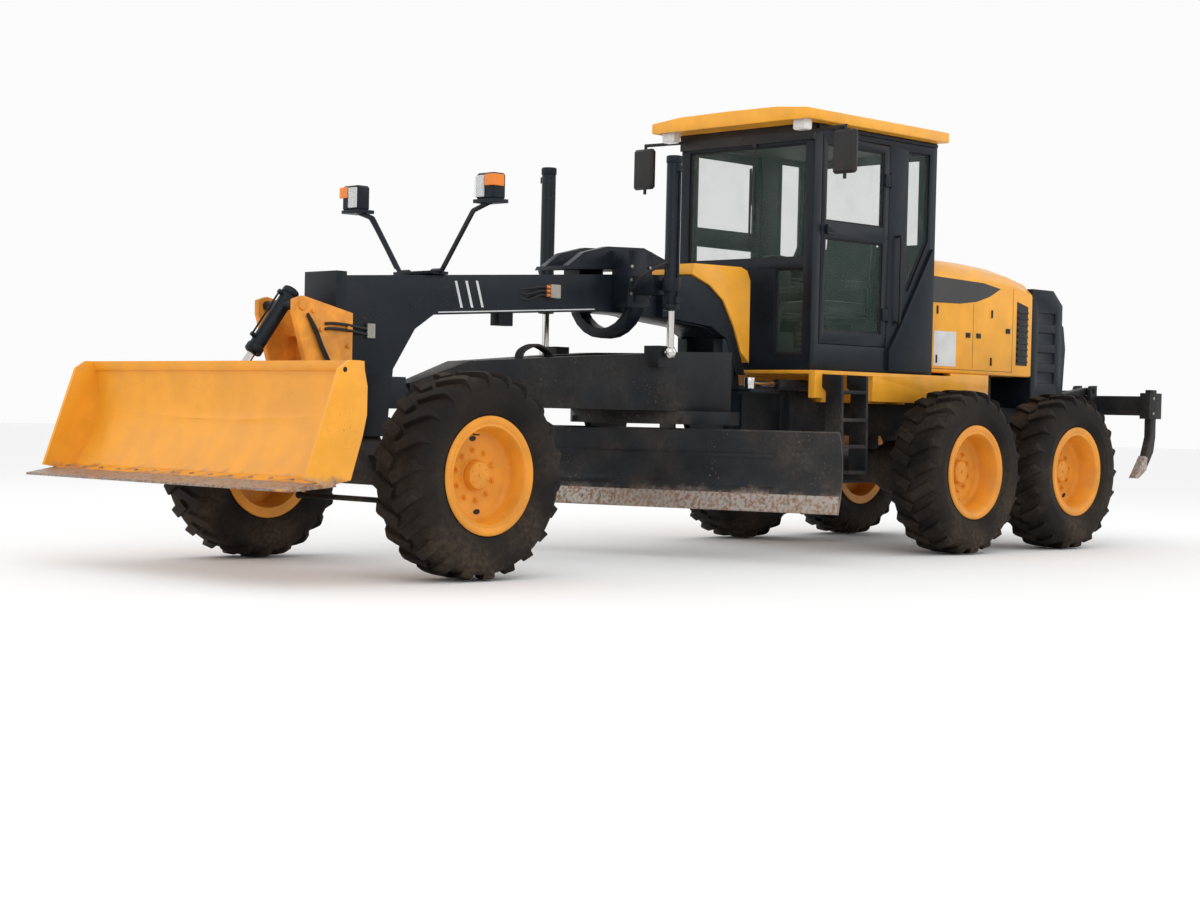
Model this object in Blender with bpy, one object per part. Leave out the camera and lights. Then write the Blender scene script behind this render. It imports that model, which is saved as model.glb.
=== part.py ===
"""Motor grader with a front dozer blade and a rear ripper, one object for each sub-part.

Metres, +Z up, +X towards the dozer blade, +Y to the driver's left, ground at Z = 0.
Lengths along the machine are stations: metres forward of the mid axle.  The empty
"machine" stands at the mid axle, and every object is its child.
"""

import math

import bmesh
import bpy
from mathutils import Matrix, Vector

# ---------------------------------------------------------------- driving dimensions
MID_AXLE_X = -1.86          # mid axle from the middle of the whole machine
WHEELBASE = 5.44            # mid axle to front axle
TANDEM_SPREAD = 1.54        # mid axle to rear axle
TRACK = 2.30                # between the wheels' middle planes
TYRE_RADIUS = 0.675
TYRE_WIDTH = 0.445
FLANGE_RADIUS = 0.385
BARREL_RADIUS = 0.33
SEGMENTS = 20               # around each wheel
PIN_SIDES = 12              # around pins, rods and their holes
SEAT_GAP = 0.0003           # between faces that touch
PIN_GAP = 0.0006            # between a pin's parts
RUN_GAP = 0.006             # between pieces that move past each other

ARTICULATION_X = 1.50       # vertical pin between the two frames
HITCH_LOW = 0.86
HITCH_HIGH = 1.34
HITCH_PLATE = 0.06

BEAM_HALF = 0.17            # half width of the front frame's beam
BEAM_DEPTH = 0.275
BEAM_TOP_FRONT = 1.975
BEAM_TOP_REAR = 2.17
NOSE_X = 5.77
NOSE_TOP = 2.00
SADDLE_X = 2.99

CAB_FRONT = 1.385
CAB_REAR = -0.27
CAB_HALF = 0.70
CAB_FLOOR = 1.47
CAB_TOP = 3.42
CAB_WALL = 0.06
DOOR_REAR = 0.39
DOOR_FRONT = 1.285
DOOR_SILL = 1.68
DOOR_TOP = 3.34
ROOF_FRONT = 1.64
ROOF_HALF = 0.82
ROOF_THICK = 0.085
ROOF_CROWN = 0.035

HOOD_FRONT = -0.38
HOOD_REAR = -1.95
HOOD_HALF = 0.60
HOOD_LOW = 1.50
HOOD_SHOULDER = 2.34
HOOD_WALL = 0.03
GUARD_REAR = -2.46

RAIL_HALF = 0.36            # middle of each rear frame rail
RAIL_THICK = 0.10
RAIL_LOW = 0.95
RAIL_HIGH = 1.22

LEAN_Y = 0.82               # kingpin and lean pin cross here
KINGPIN_RADIUS = 0.028
STEER_ARM = 0.17
STEER_DROP = 0.160

BALL_X = 5.05               # drawbar ball
BALL_Z = 1.20
BALL_RADIUS = 0.075
CIRCLE_X = 2.42
CIRCLE_RADIUS = 0.66
CIRCLE_TOP = 1.12
CIRCLE_THICK = 0.10
BLADE_ANGLE = 17.8          # degrees, left end back
BLADE_SHIFT = 0.14          # towards the right
BLADE_LENGTH = 3.66
BLADE_LOW = 0.39
BLADE_TOP = 0.98
BLADE_AHEAD = 0.42          # sheet's middle ahead of the circle's centre
BLADE_SAG = 0.085
TIP_AHEAD = 0.20            # tip pin ahead of the circle's centre
TIP_Z = 0.62
ARM_HALF = 0.42             # middle of each circle arm

LIFT_Y = 0.656
LIFT_TOP = 3.00
LIFT_TRUNNION_Z = 2.05
LIFT_BOTTOM = 1.55
LIFT_RADIUS = 0.055

DOZER_PIVOT_X = 5.84
DOZER_PIVOT_Z = 0.98
DOZER_HALF = 1.44
DOZER_TOP_X = 6.60
DOZER_TOP_Z = 1.372
DOZER_EDGE_X = 7.12
DOZER_EDGE_Z = 0.60

RIPPER_PIVOT_X = -2.58
RIPPER_PIVOT_Z = 1.06
RIPPER_BAR_X = -3.29        # middle of the toolbar
RIPPER_BAR_Z = 1.27
RIPPER_BAR_HALF = 1.10
RIPPER_RISE = 0.10          # toolbar pin above the arms' pin
LINK_RISE = 0.24            # upper links above the arms
RIPPER_ARM_Y = 0.42

FRONT_AXLE_X = WHEELBASE
REAR_AXLE_X = -TANDEM_SPREAD
TANDEM_X = -TANDEM_SPREAD / 2
WHEEL_Y = TRACK / 2
HALF_LENGTH = BLADE_LENGTH / 2

DOOR_HINGE = (DOOR_REAR - 0.005, CAB_HALF + 0.0135)
TIE_ROD_Z = TYRE_RADIUS - STEER_DROP - 0.055
RAIL_AHEAD = 0.315          # slide rails ahead of the circle's centre
RAIL_UP = (0.575, 0.80)
RAIL_SIZE = 0.05
DOZER_CYLINDER = ((6.088, 1.755), (6.455, 1.265))
RIPPER_CYLINDER = (RIPPER_PIVOT_X, 1.88)
RIPPER_PIN_X = RIPPER_BAR_X + 0.13
STEER_PIN_REAR = 1.05
STEER_PIN_FRONT = 1.88
STEER_PIN_Y = 0.50
STEER_PIN_Z = 1.35
STEER_RADIUS = 0.045
FRONT_DISH = 0.16           # depth of a rim's disc behind its flange
REAR_DISH = 0.20
ARMS_TUBE = (0.05, 0.62)    # half depth of the ripper's arms, and their cross tube's share of the length
LINKS_TUBE = (0.035, 0.75)


# ---------------------------------------------------------------- modelling helpers
def clear_scene():
    """Remove every object of the start-up scene."""
    for item in list(bpy.data.objects):
        bpy.data.objects.remove(item, do_unlink=True)


def make_material(name, colour, roughness, metallic=0.0):
    """A Principled material."""
    result = bpy.data.materials.new(name)
    result.use_nodes = True
    shader = result.node_tree.nodes["Principled BSDF"]
    shader.inputs["Base Color"].default_value = (*colour, 1.0)
    shader.inputs["Roughness"].default_value = roughness
    shader.inputs["Metallic"].default_value = metallic
    return result


def link_mesh(bm):
    """Turn a bmesh into a scene object with its faces pointing out."""
    bmesh.ops.recalc_face_normals(bm, faces=bm.faces)
    mesh = bpy.data.meshes.new("piece")
    bm.to_mesh(mesh)
    bm.free()
    item = bpy.data.objects.new("piece", mesh)
    bpy.context.collection.objects.link(item)
    return item


def loft(rings):
    """A closed solid through rings that have the same number of points."""
    bm = bmesh.new()
    loops = [[bm.verts.new(point) for point in ring] for ring in rings]
    count = len(rings[0])
    for near, far in zip(loops, loops[1:]):
        for index in range(count):
            following = (index + 1) % count
            bm.faces.new((near[index], near[following], far[following], far[index]))
    bm.faces.new(loops[0])
    bm.faces.new(reversed(loops[-1]))
    return link_mesh(bm)


def prism(outline, axis, low, high):
    """Extrude an outline along an axis; the outline's plane is XZ, YZ or XY."""
    place = {
        "X": lambda a, b, h: (h, a, b),
        "Y": lambda a, b, h: (a, h, b),
        "Z": lambda a, b, h: (a, b, h),
    }[axis]
    return loft([[place(a, b, h) for a, b in outline] for h in (low, high)])


def block(x_span, y_span, z_span):
    """A box from its three spans."""
    (x0, x1), (y0, y1), (z0, z1) = x_span, y_span, z_span
    return prism([(x0, y0), (x1, y0), (x1, y1), (x0, y1)], "Z", z0, z1)


def rod(start, end, radius, sides=PIN_SIDES):
    """A round bar between two points."""
    start = Vector(start)
    end = Vector(end)
    along = end - start
    turn = along.to_track_quat("Z", "Y").to_matrix()
    rings = []
    for base in (start, end):
        ring = []
        for index in range(sides):
            angle = 2 * math.pi * (index + 0.5) / sides
            ring.append(base + turn @ Vector((math.cos(angle), math.sin(angle), 0)) * radius)
        rings.append(ring)
    return loft(rings)


def ball(centre, radius, sides=12):
    """A sphere."""
    bm = bmesh.new()
    bmesh.ops.create_uvsphere(bm, u_segments=sides, v_segments=sides // 2 + 2, radius=radius)
    bmesh.ops.translate(bm, verts=bm.verts, vec=Vector(centre))
    return link_mesh(bm)


def turned(profile, centre, side, solid):
    """Turn a profile of (radius, outward offset) about a wheel's axle.

    A solid profile starts and ends on the axle; a ring's profile is closed.
    """
    bm = bmesh.new()
    columns = []
    poles = {}
    for step in range(SEGMENTS):
        angle = 2 * math.pi * step / SEGMENTS
        column = []
        for index, (radius, offset) in enumerate(profile):
            if radius == 0 and index in poles:
                column.append(poles[index])
                continue
            vert = bm.verts.new((
                centre[0] + radius * math.cos(angle),
                centre[1] + side * offset,
                centre[2] + radius * math.sin(angle),
            ))
            if radius == 0:
                poles[index] = vert
            column.append(vert)
        columns.append(column)
    last = len(profile) - 1 if solid else len(profile)
    for step in range(SEGMENTS):
        near = columns[step]
        far = columns[(step + 1) % SEGMENTS]
        for index in range(last):
            following = (index + 1) % len(profile)
            corners = [near[index], near[following], far[following], far[index]]
            kept = list(dict.fromkeys(corners))
            bm.faces.new(kept)
    return link_mesh(bm)


def running_hole(radius):
    """Corner radius of a hole that a faceted pin of this radius turns in."""
    return radius / math.cos(math.pi / PIN_SIDES) + 0.0001


def ring_of(radius, count, start=0.0, sweep=360.0):
    """Points along a circle or an arc, as pairs."""
    closed = sweep == 360.0
    steps = count if closed else count - 1
    points = []
    for index in range(count):
        angle = math.radians(start + sweep * index / steps)
        points.append((radius * math.cos(angle), radius * math.sin(angle)))
    return points


def shifted(points, first, second):
    """Move a list of pairs."""
    return [(a + first, b + second) for a, b in points]


def bake(item):
    """Apply an object's modifiers by taking its evaluated mesh."""
    graph = bpy.context.evaluated_depsgraph_get()
    mesh = bpy.data.meshes.new_from_object(item.evaluated_get(graph))
    item.modifiers.clear()
    item.data = mesh


def combine(item, other, operation):
    """Boolean one object with another and remove the other."""
    step = item.modifiers.new("combine", "BOOLEAN")
    step.operation = operation
    step.object = other
    bake(item)
    bpy.data.objects.remove(other, do_unlink=True)


def bevel(item, width):
    """Round an object's sharp edges with one chamfer."""
    step = item.modifiers.new("bevel", "BEVEL")
    step.width = width
    step.segments = 1
    step.limit_method = "ANGLE"
    bake(item)
    return item


def mirrored(item):
    """A copy of an object on the machine's other side."""
    twin = item.copy()
    twin.data = item.data.copy()
    bpy.context.collection.objects.link(twin)
    twin.data.transform(Matrix.Scale(-1, 4, (0, 1, 0)))
    twin.data.flip_normals()
    return twin


def both(item):
    """An object and its mirror image, as a list."""
    return [item, mirrored(item)]


def fused(solids, cuts=()):
    """Join overlapping solids into one and take the cuts out of it."""
    whole = solids[0]
    for other in solids[1:]:
        combine(whole, other, "UNION")
    for cut in cuts:
        combine(whole, cut, "DIFFERENCE")
    return whole


def finish(item, name, material, pivot=(0, 0, 0)):
    """Name a sub-part, give it its material and put its origin on its pivot."""
    item.name = name
    item.data.name = name
    item.data.transform(Matrix.Translation(-Vector(pivot)))
    item.location = pivot
    item.data.materials.clear()
    item.data.materials.append(material)
    item.data.shade_smooth()
    item.data.set_sharp_from_angle(angle=math.radians(35))
    item.parent = MACHINE
    return item


def sided(name, side):
    """A sub-part's name for the left (+1) or right (-1) side."""
    return f"{name}_{'left' if side > 0 else 'right'}"


# ---------------------------------------------------------------- wheels
def tyre_profile():
    """Closed section of a tyre, seated on its rim."""
    inner = BARREL_RADIUS + SEAT_GAP * 2
    half = TYRE_WIDTH / 2
    upper = [
        (inner, half - 0.0375),
        (FLANGE_RADIUS + 0.015, half - 0.0295),
        (TYRE_RADIUS - 0.135, half),
        (TYRE_RADIUS, half - 0.0625),
    ]
    return upper + [(radius, -offset) for radius, offset in reversed(upper)]


def rim_profile(dish):
    """Section of a rim and its disc; dish is the disc's depth from the flange."""
    face = TYRE_WIDTH / 2 - 0.0175
    seat = TYRE_WIDTH / 2 - 0.029
    disc = face - dish
    return [
        (0, disc + 0.065),
        (0.096, disc + 0.06),
        (0.100, disc),
        (0.295, disc),
        (0.318, face),
        (FLANGE_RADIUS, face),
        (FLANGE_RADIUS, seat),
        (BARREL_RADIUS, seat),
        (BARREL_RADIUS, -seat),
        (FLANGE_RADIUS, -seat),
        (FLANGE_RADIUS, -face),
        (0.308, -face),
        (0.285, disc - 0.03),
        (0.105, disc - 0.03),
        (0.105, -0.10),
        (0.055, -0.10),
        (0.055, -0.02),
        (0, -0.02),
    ]


def build_wheel(place, side, x, dish, rubber, paint):
    """Tyre and rim of one wheel."""
    centre = (x, side * WHEEL_Y, TYRE_RADIUS)
    tyre = turned(tyre_profile(), centre, side, False)
    finish(tyre, sided(f"tyre_{place}", side), rubber, centre)
    rim = turned(rim_profile(dish), centre, side, True)
    finish(rim, sided(f"rim_{place}", side), paint, centre)


def spindle(side, x, root_y):
    """Stub that carries a wheel, from root_y outwards into the hub."""
    end = WHEEL_Y - 0.02 - PIN_GAP
    return rod((x, side * root_y, TYRE_RADIUS), (x, side * end, TYRE_RADIUS), 0.05, 16)


# ---------------------------------------------------------------- rear frame group
def build_rear_frame(material):
    """Rails, cross members, hitch plates and the tower that carries the ripper."""
    rail = [
        (GUARD_REAR - 0.02, RAIL_LOW),
        (GUARD_REAR - 0.02, RAIL_HIGH),
        (1.02, RAIL_HIGH),
        (1.18, HITCH_HIGH),
        (1.26, HITCH_HIGH),
        (1.26, HITCH_LOW),
        (1.02, RAIL_LOW),
    ]
    inner = RAIL_HALF - RAIL_THICK / 2
    outer = RAIL_HALF + RAIL_THICK / 2
    solids = both(prism(rail, "Y", inner, outer))
    for x in (0.55, -1.35):
        solids.append(block((x - 0.08, x + 0.08), (-RAIL_HALF, RAIL_HALF),
                            (RAIL_LOW + 0.02, RAIL_HIGH - 0.03)))
    solids.append(block((1.14, 1.24), (-RAIL_HALF, RAIL_HALF), (HITCH_LOW, HITCH_HIGH)))
    nose = shifted(ring_of(0.09, 9, -90, 180), ARTICULATION_X, 0)
    tongue = [(1.16, -0.30), (1.24, -0.30)] + nose + [(1.24, 0.30), (1.16, 0.30)]
    for low in (HITCH_LOW, HITCH_HIGH - HITCH_PLATE):
        solids.append(prism(tongue, "Z", low, low + HITCH_PLATE))
    lug_top = STEER_PIN_Z - STEER_RADIUS - PIN_GAP
    solids += both(block((0.98, 1.12), (RAIL_HALF, 0.56), (lug_top - 0.04, lug_top)))
    solids += both(block((0.98, 1.12), (RAIL_HALF, outer), (RAIL_HIGH - 0.10, lug_top)))
    tower = [
        (GUARD_REAR - 0.001, RAIL_LOW - 0.02),
        (GUARD_REAR - 0.001, 2.02),
        (GUARD_REAR - 0.05, 2.06),
        (RIPPER_PIVOT_X - 0.03, 1.98),
        (RIPPER_PIVOT_X - 0.07, 1.78),
        (RIPPER_PIVOT_X - 0.04, 1.40),
        (RIPPER_PIVOT_X - 0.06, RAIL_LOW + 0.02),
        (RIPPER_PIVOT_X, RAIL_LOW - 0.02),
    ]
    for y in (RIPPER_ARM_Y - 0.08, RIPPER_ARM_Y + 0.08):
        solids += both(prism(tower, "Y", y - 0.02, y + 0.02))
    solids.append(block((GUARD_REAR - 0.045, GUARD_REAR), (-0.51, 0.51), (RAIL_LOW - 0.02, 1.96)))
    cuts = []
    for z in (RIPPER_PIVOT_Z, RIPPER_PIVOT_Z + LINK_RISE):
        cuts += both(rod((RIPPER_PIVOT_X, 0.25, z), (RIPPER_PIVOT_X, 0.6, z), running_hole(0.024)))
    finish(fused(solids, cuts), "rear_frame", material)


def build_tandem_drive(material):
    """Rear axle housing with the two tandem cases and the four spindles."""
    half = 0.175
    case_low = TYRE_RADIUS - half
    case = [
        (REAR_AXLE_X - 0.16, case_low + 0.08),
        (REAR_AXLE_X - 0.16, case_low + half * 2 - 0.08),
        (REAR_AXLE_X - 0.06, case_low + half * 2),
        (0.06, case_low + half * 2),
        (0.16, case_low + half * 2 - 0.08),
        (0.16, case_low + 0.08),
        (0.06, case_low),
        (REAR_AXLE_X - 0.06, case_low),
    ]
    solids = [rod((TANDEM_X, -0.75, TYRE_RADIUS), (TANDEM_X, 0.75, TYRE_RADIUS), 0.15, 16)]
    solids.append(ball((TANDEM_X, 0, TYRE_RADIUS), 0.24, 10))
    solids += both(prism(case, "Y", 0.72, 0.90))
    for y in (-RAIL_HALF, RAIL_HALF):
        solids.append(block(
            (TANDEM_X - 0.14, TANDEM_X + 0.14), (y - 0.06, y + 0.06),
            (TYRE_RADIUS, RAIL_LOW - SEAT_GAP),
        ))
    for side in (1, -1):
        for x in (0.0, REAR_AXLE_X):
            solids.append(spindle(side, x, 0.88))
    finish(fused(solids), "tandem_drive", material)


def build_platform(material):
    """Floor pan under the cab with the side boxes that hang from it."""
    top = CAB_FLOOR - SEAT_GAP
    solids = [block((-0.30, CAB_FRONT), (-0.76, 0.76), (top - 0.03, top))]
    solids += both(block((-0.73, 0.63), (0.45, 0.76), (1.235, top)))
    solids += both(block((1.17, CAB_FRONT), (0.69, 0.76), (1.25, top)))
    for x in (-0.20, 0.85):
        solids.append(block((x - 0.05, x + 0.05), (-0.45, 0.45), (RAIL_HIGH + SEAT_GAP, top - 0.01)))
    solids += both(block((-1.28, -0.70), (0.52, 0.60), (1.30, HOOD_LOW - SEAT_GAP)))
    finish(fused(solids), "platform", material)


def build_ladder(side, material):
    """Two rails with steps beside the door."""
    inner = 0.76 + SEAT_GAP
    outline = [(inner, 1.44), (0.95, 1.43), (0.97, 0.65), (0.80, 0.65), (0.80, 1.30), (inner, 1.34)]
    solids = []
    for x in (0.965, 1.285):
        solids.append(prism(outline, "X", x - 0.014, x + 0.014))
    for z, depth in ((0.665, 0.97), (0.87, 0.968), (1.08, 0.966), (1.30, 0.955)):
        solids.append(block((0.96, 1.29), (0.80, depth - 0.004), (z - 0.014, z + 0.014)))
    ladder = fused(solids)
    if side < 0:
        twin = mirrored(ladder)
        bpy.data.objects.remove(ladder, do_unlink=True)
        ladder = twin
    finish(ladder, sided("ladder", side), material)


def build_hood(material):
    """Hollow engine hood, open below, with a crowned top that falls to the rear."""
    def section(x, drop, inset):
        """Outline of the hood at a station."""
        half = HOOD_HALF - inset
        top = HOOD_SHOULDER - drop - inset
        low = HOOD_LOW if inset == 0 else HOOD_LOW - 0.05
        side_points = [(half, low), (half, top), (half - 0.09, top + 0.09), (half - 0.30, top + 0.165)]
        crest = [(0, top + 0.18)]
        outline = side_points + crest + [(-y, z) for y, z in reversed(side_points)]
        return [(x, y, z) for y, z in outline]

    stations = ((HOOD_FRONT, 0.0), (-1.20, 0.015), (-1.65, 0.04), (HOOD_REAR, 0.10))
    outer = loft([section(x, drop, 0) for x, drop in stations])
    inside = loft([
        section(HOOD_FRONT - HOOD_WALL, 0.0, HOOD_WALL),
        section(-1.20, 0.015, HOOD_WALL),
        section(HOOD_REAR + HOOD_WALL, 0.10, HOOD_WALL),
    ])
    finish(fused([outer], [inside]), "hood", material)


def build_engine(material):
    """Engine and its ancillaries as one block on the rails."""
    low = RAIL_HIGH + SEAT_GAP
    body = block((-1.65, -0.62), (-0.40, 0.40), (low, 2.10))
    finish(bevel(body, 0.03), "engine_block", material)


def build_guard(material):
    """Radiator guard behind the hood."""
    front = HOOD_REAR - SEAT_GAP
    outline = [
        (front, RAIL_HIGH + SEAT_GAP),
        (front, 2.30),
        (-2.30, 2.30),
        (GUARD_REAR + SEAT_GAP, 2.17),
        (GUARD_REAR + SEAT_GAP, RAIL_HIGH + SEAT_GAP),
    ]
    body = prism(outline, "Y", -HOOD_HALF, HOOD_HALF)
    louvres = []
    for z in (1.50, 1.68, 1.86, 2.04):
        louvres += both(block((-2.34, -2.06), (HOOD_HALF - 0.02, HOOD_HALF + 0.05), (z - 0.05, z + 0.05)))
    finish(fused([body], louvres), "radiator_guard", material)


# ---------------------------------------------------------------- cab
def build_cab_shell(material):
    """Hollow cab with pillars, window openings, door openings and lower side panels."""
    top = CAB_TOP
    shell = block((CAB_REAR, CAB_FRONT), (-CAB_HALF, CAB_HALF), (CAB_FLOOR, top))
    panel = [
        (CAB_REAR + 0.07, CAB_FLOOR + 0.02),
        (CAB_REAR + 0.07, 2.53),
        (DOOR_REAR - 0.15, 1.86),
        (DOOR_REAR - 0.004, 1.66),
        (DOOR_REAR - 0.004, CAB_FLOOR + 0.02),
    ]
    solids = [shell] + both(prism(panel, "Y", CAB_HALF - 0.02, CAB_HALF + 0.035))
    inner = (CAB_REAR + CAB_WALL, CAB_FRONT - CAB_WALL)
    wide = CAB_HALF - CAB_WALL
    cuts = [block(inner, (-wide, wide), (CAB_FLOOR + 0.04, top - 0.05))]
    past = CAB_HALF + 0.1
    cuts.append(block((1.2, CAB_FRONT + 0.1), (-0.61, 0.61), (2.36, 3.27)))
    for side in (1, -1):
        span = sorted((side * 0.33, side * 0.61))
        cuts.append(block((1.2, CAB_FRONT + 0.1), span, (1.60, 2.28)))
        span = sorted((side * (wide - 0.1), side * past))
        cuts.append(block((DOOR_REAR, DOOR_FRONT), span, (DOOR_SILL, DOOR_TOP)))
        glass = [(-0.17, 2.60), (-0.17, 3.32), (0.13, 3.32), (0.13, 2.16), (0.10, 2.16)]
        cuts.append(prism(glass, "Y", *span))
    cuts.append(block((CAB_REAR - 0.1, 0.0), (-0.56, 0.56), (2.56, 3.30)))
    finish(fused(solids, cuts), "cab_shell", material)


def build_cab_door(side, material):
    """Door leaf with two window openings, a mid bar and hinge barrels."""
    clear = 0.006
    rear = DOOR_REAR + clear
    front = DOOR_FRONT - clear
    low = DOOR_SILL + clear
    top = DOOR_TOP - clear
    inner = CAB_HALF - 0.045
    leaf = block((rear, front), (inner, CAB_HALF), (low, top))
    solids = [leaf]
    for z in (1.95, 3.05):
        solids.append(block((DOOR_HINGE[0], rear + 0.07), (CAB_HALF - 0.02, DOOR_HINGE[1] + 0.006),
                            (z - 0.05, z + 0.05)))
        solids.append(rod((*DOOR_HINGE, z - 0.06), (*DOOR_HINGE, z + 0.06), 0.012, 8))
    solids.append(block((front - 0.16, front - 0.04), (CAB_HALF - 0.01, CAB_HALF + 0.03), (2.575, 2.615)))
    cuts = [
        block((rear + 0.07, front - 0.06), (inner - 0.1, CAB_HALF + 0.1), (2.66, top - 0.06)),
        block((rear + 0.07, front - 0.06), (inner - 0.1, CAB_HALF + 0.1), (low + 0.10, 2.53)),
    ]
    relief = block((DOOR_REAR - 0.1, DOOR_REAR + 0.001), (0.0, CAB_HALF + PIN_GAP),
                   (low - 0.1, top + 0.1))
    door = fused(solids, cuts + [relief])
    if side < 0:
        twin = mirrored(door)
        bpy.data.objects.remove(door, do_unlink=True)
        door = twin
    finish(door, sided("cab_door", side), material, (DOOR_HINGE[0], side * DOOR_HINGE[1], DOOR_SILL))


def build_cab_roof(material):
    """Crowned roof that overhangs the cab, with a lamp notch at each front corner."""
    low = CAB_TOP + SEAT_GAP
    edge = low + ROOF_THICK
    outline = [(-ROOF_HALF, low), (-ROOF_HALF, edge), (-0.5, edge + 0.03), (0, edge + ROOF_CROWN),
               (0.5, edge + 0.03), (ROOF_HALF, edge), (ROOF_HALF, low)]
    body = prism(outline, "X", CAB_REAR, ROOF_FRONT)
    cuts = both(block((ROOF_FRONT - 0.16, ROOF_FRONT - 0.03), (0.60, 0.78), (low - 0.1, low + 0.035)))
    finish(fused([body], cuts), "cab_roof", material)


def build_mirrors(material):
    """Visor across the windscreen's top with a mirror on an arm at each end."""
    front = CAB_FRONT + SEAT_GAP
    solids = [block((front, front + 0.025), (-CAB_HALF, CAB_HALF), (3.29, CAB_TOP))]
    for side in (1, -1):
        root = (front + 0.016, side * (CAB_HALF - 0.03), 3.36)
        elbow = (CAB_FRONT + 0.07, side * 1.05, 3.36)
        solids.append(rod(root, elbow, 0.014, 8))
        solids.append(rod((elbow[0], elbow[1], 3.372), (elbow[0], elbow[1], 2.95), 0.014, 8))
        span = sorted((side * 0.945, side * 1.165))
        mirror = block((CAB_FRONT + 0.045, CAB_FRONT + 0.105), span, (2.99, 3.33))
        solids.append(bevel(mirror, 0.02))
    finish(fused(solids), "visor_and_mirrors", material)


def build_seat(material):
    """Operator's seat on its pedestal."""
    floor = CAB_FLOOR + 0.04 + SEAT_GAP
    solids = [
        block((0.12, 0.50), (-0.18, 0.18), (floor, 1.96)),
        bevel(block((0.04, 0.60), (-0.26, 0.26), (1.94, 2.10)), 0.03),
        bevel(prism([(0.02, 2.0), (0.16, 2.0), (0.04, 2.72), (-0.08, 2.72)], "Y", -0.25, 0.25), 0.025),
    ]
    solids += both(block((0.10, 0.45), (0.25, 0.32), (2.18, 2.26)))
    solids += both(block((0.10, 0.16), (0.24, 0.30), (2.02, 2.20)))
    finish(fused(solids), "operator_seat", material)


def build_console(material):
    """Steering pedestal, wheel and lever banks."""
    floor = CAB_FLOOR + 0.04 + SEAT_GAP
    hub = Vector((0.86, 0, 2.33))
    lean = Matrix.Rotation(math.radians(-28), 4, "Y")
    wheel_bm = bmesh.new()
    bmesh.ops.create_cone(wheel_bm, cap_ends=True, segments=20, radius1=0.20, radius2=0.20, depth=0.03)
    bmesh.ops.transform(wheel_bm, matrix=Matrix.Translation(hub) @ lean, verts=wheel_bm.verts)
    wheel = link_mesh(wheel_bm)
    solids = [
        block((0.86, 1.10), (-0.14, 0.14), (floor, 1.80)),
        rod((1.00, 0, 1.74), hub, 0.05, 10),
        wheel,
        block((0.76, 1.00), (-0.30, 0.30), (2.10, 2.17)),
    ]
    finish(fused(solids), "steering_console", material)


# ---------------------------------------------------------------- front frame group
def beam_top(x):
    """Height of the beam's top at a station."""
    share = (x - 5.66) / (SADDLE_X - 5.66)
    return BEAM_TOP_FRONT + share * (BEAM_TOP_REAR - BEAM_TOP_FRONT) * 0.86


def neck_curve():
    """Convex back of the gooseneck, from the beam's top down to the hitch."""
    return [(2.30, 2.17), (2.09, 2.11), (1.925, 2.00), (1.79, 1.80), (1.70, 1.60), (1.625, 1.42)]


def build_front_frame(material):
    """Beam with its nose, the head over the axle, the gooseneck and the hitch tongue."""
    top = [(NOSE_X, 1.79), (NOSE_X, NOSE_TOP), (5.68, NOSE_TOP), (5.68, beam_top(5.68)),
           (2.75, beam_top(2.75))]
    back = neck_curve() + [(1.605, 1.30), (1.605, 0.94)]
    under = [
        (1.72, 0.94),
        (1.735, 1.42),
        (1.86, 1.70),
        (2.05, 1.78),
        (2.80, beam_top(2.80) - BEAM_DEPTH - 0.03),
        (3.22, beam_top(3.22) - BEAM_DEPTH),
        (4.90, beam_top(4.90) - BEAM_DEPTH),
    ]
    head = [(5.07, 1.64), (5.26, 1.36), (5.31, 0.90), (5.60, 0.90), (5.70, 1.00), (5.755, 1.35),
            (5.765, 1.72)]
    beam = prism(top + back + under + head, "Y", -BEAM_HALF, BEAM_HALF)
    neck = [(2.62, 1.84)] + [(2.62, 2.16)] + neck_curve()[0:1] + neck_curve()[1:]
    neck += [(1.735, 1.42), (1.86, 1.70), (2.05, 1.79)]
    wide = prism(neck, "Y", -0.24, 0.24)
    low = HITCH_LOW + HITCH_PLATE + RUN_GAP
    high = HITCH_HIGH - HITCH_PLATE - RUN_GAP
    tongue = shifted(ring_of(0.085, 9, 90, 180), ARTICULATION_X, 0)
    outline = tongue + [(1.66, -0.14), (1.66, 0.14)]
    solids = [beam, wide, prism(outline, "Z", low, high)]
    socket = block((BALL_X + BALL_RADIUS * 0.55, 5.32), (-0.11, 0.11), (BALL_Z - 0.11, BALL_Z + 0.11))
    solids.append(socket)
    hollow = ball((BALL_X, 0, BALL_Z), BALL_RADIUS + 0.0025, 16)
    solids.append(block((4.02, 4.16), (-0.045, 0.045),
                        (beam_top(4.1) - BEAM_DEPTH - 0.09, beam_top(4.1) - 0.1)))
    plate_top = STEER_PIN_Z - STEER_RADIUS - PIN_GAP
    solids += both(block((1.70, 1.935), (0.10, 0.56), (plate_top - 0.02, plate_top)))
    solids += both(block((1.76, 1.90), (0.14, 0.235), (plate_top - 0.01, 1.70)))
    finish(fused(solids, [hollow]), "front_frame", material)


def offset_line(points, distance):
    """Move each inner point of a line to its right-hand side by a distance."""
    moved = [points[0]]
    for before, here, after in zip(points, points[1:], points[2:]):
        along = Vector((after[0] - before[0], after[1] - before[1])).normalized()
        moved.append((here[0] + along.y * distance, here[1] - along.x * distance))
    moved.append(points[-1])
    return moved


def build_neck_housing(material):
    """Rounded housing behind and above the gooseneck."""
    line = offset_line(neck_curve(), SEAT_GAP * 1.5)
    outline = [(2.30, 2.185), (2.28, 2.27), (1.72, 2.275), (1.645, 2.25), (1.605, 2.17), (1.600, 1.52)]
    outline += [(x, z) for x, z in reversed(line[1:-1])]
    finish(prism(outline, "Y", -0.255, 0.255), "neck_housing", material)


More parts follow.
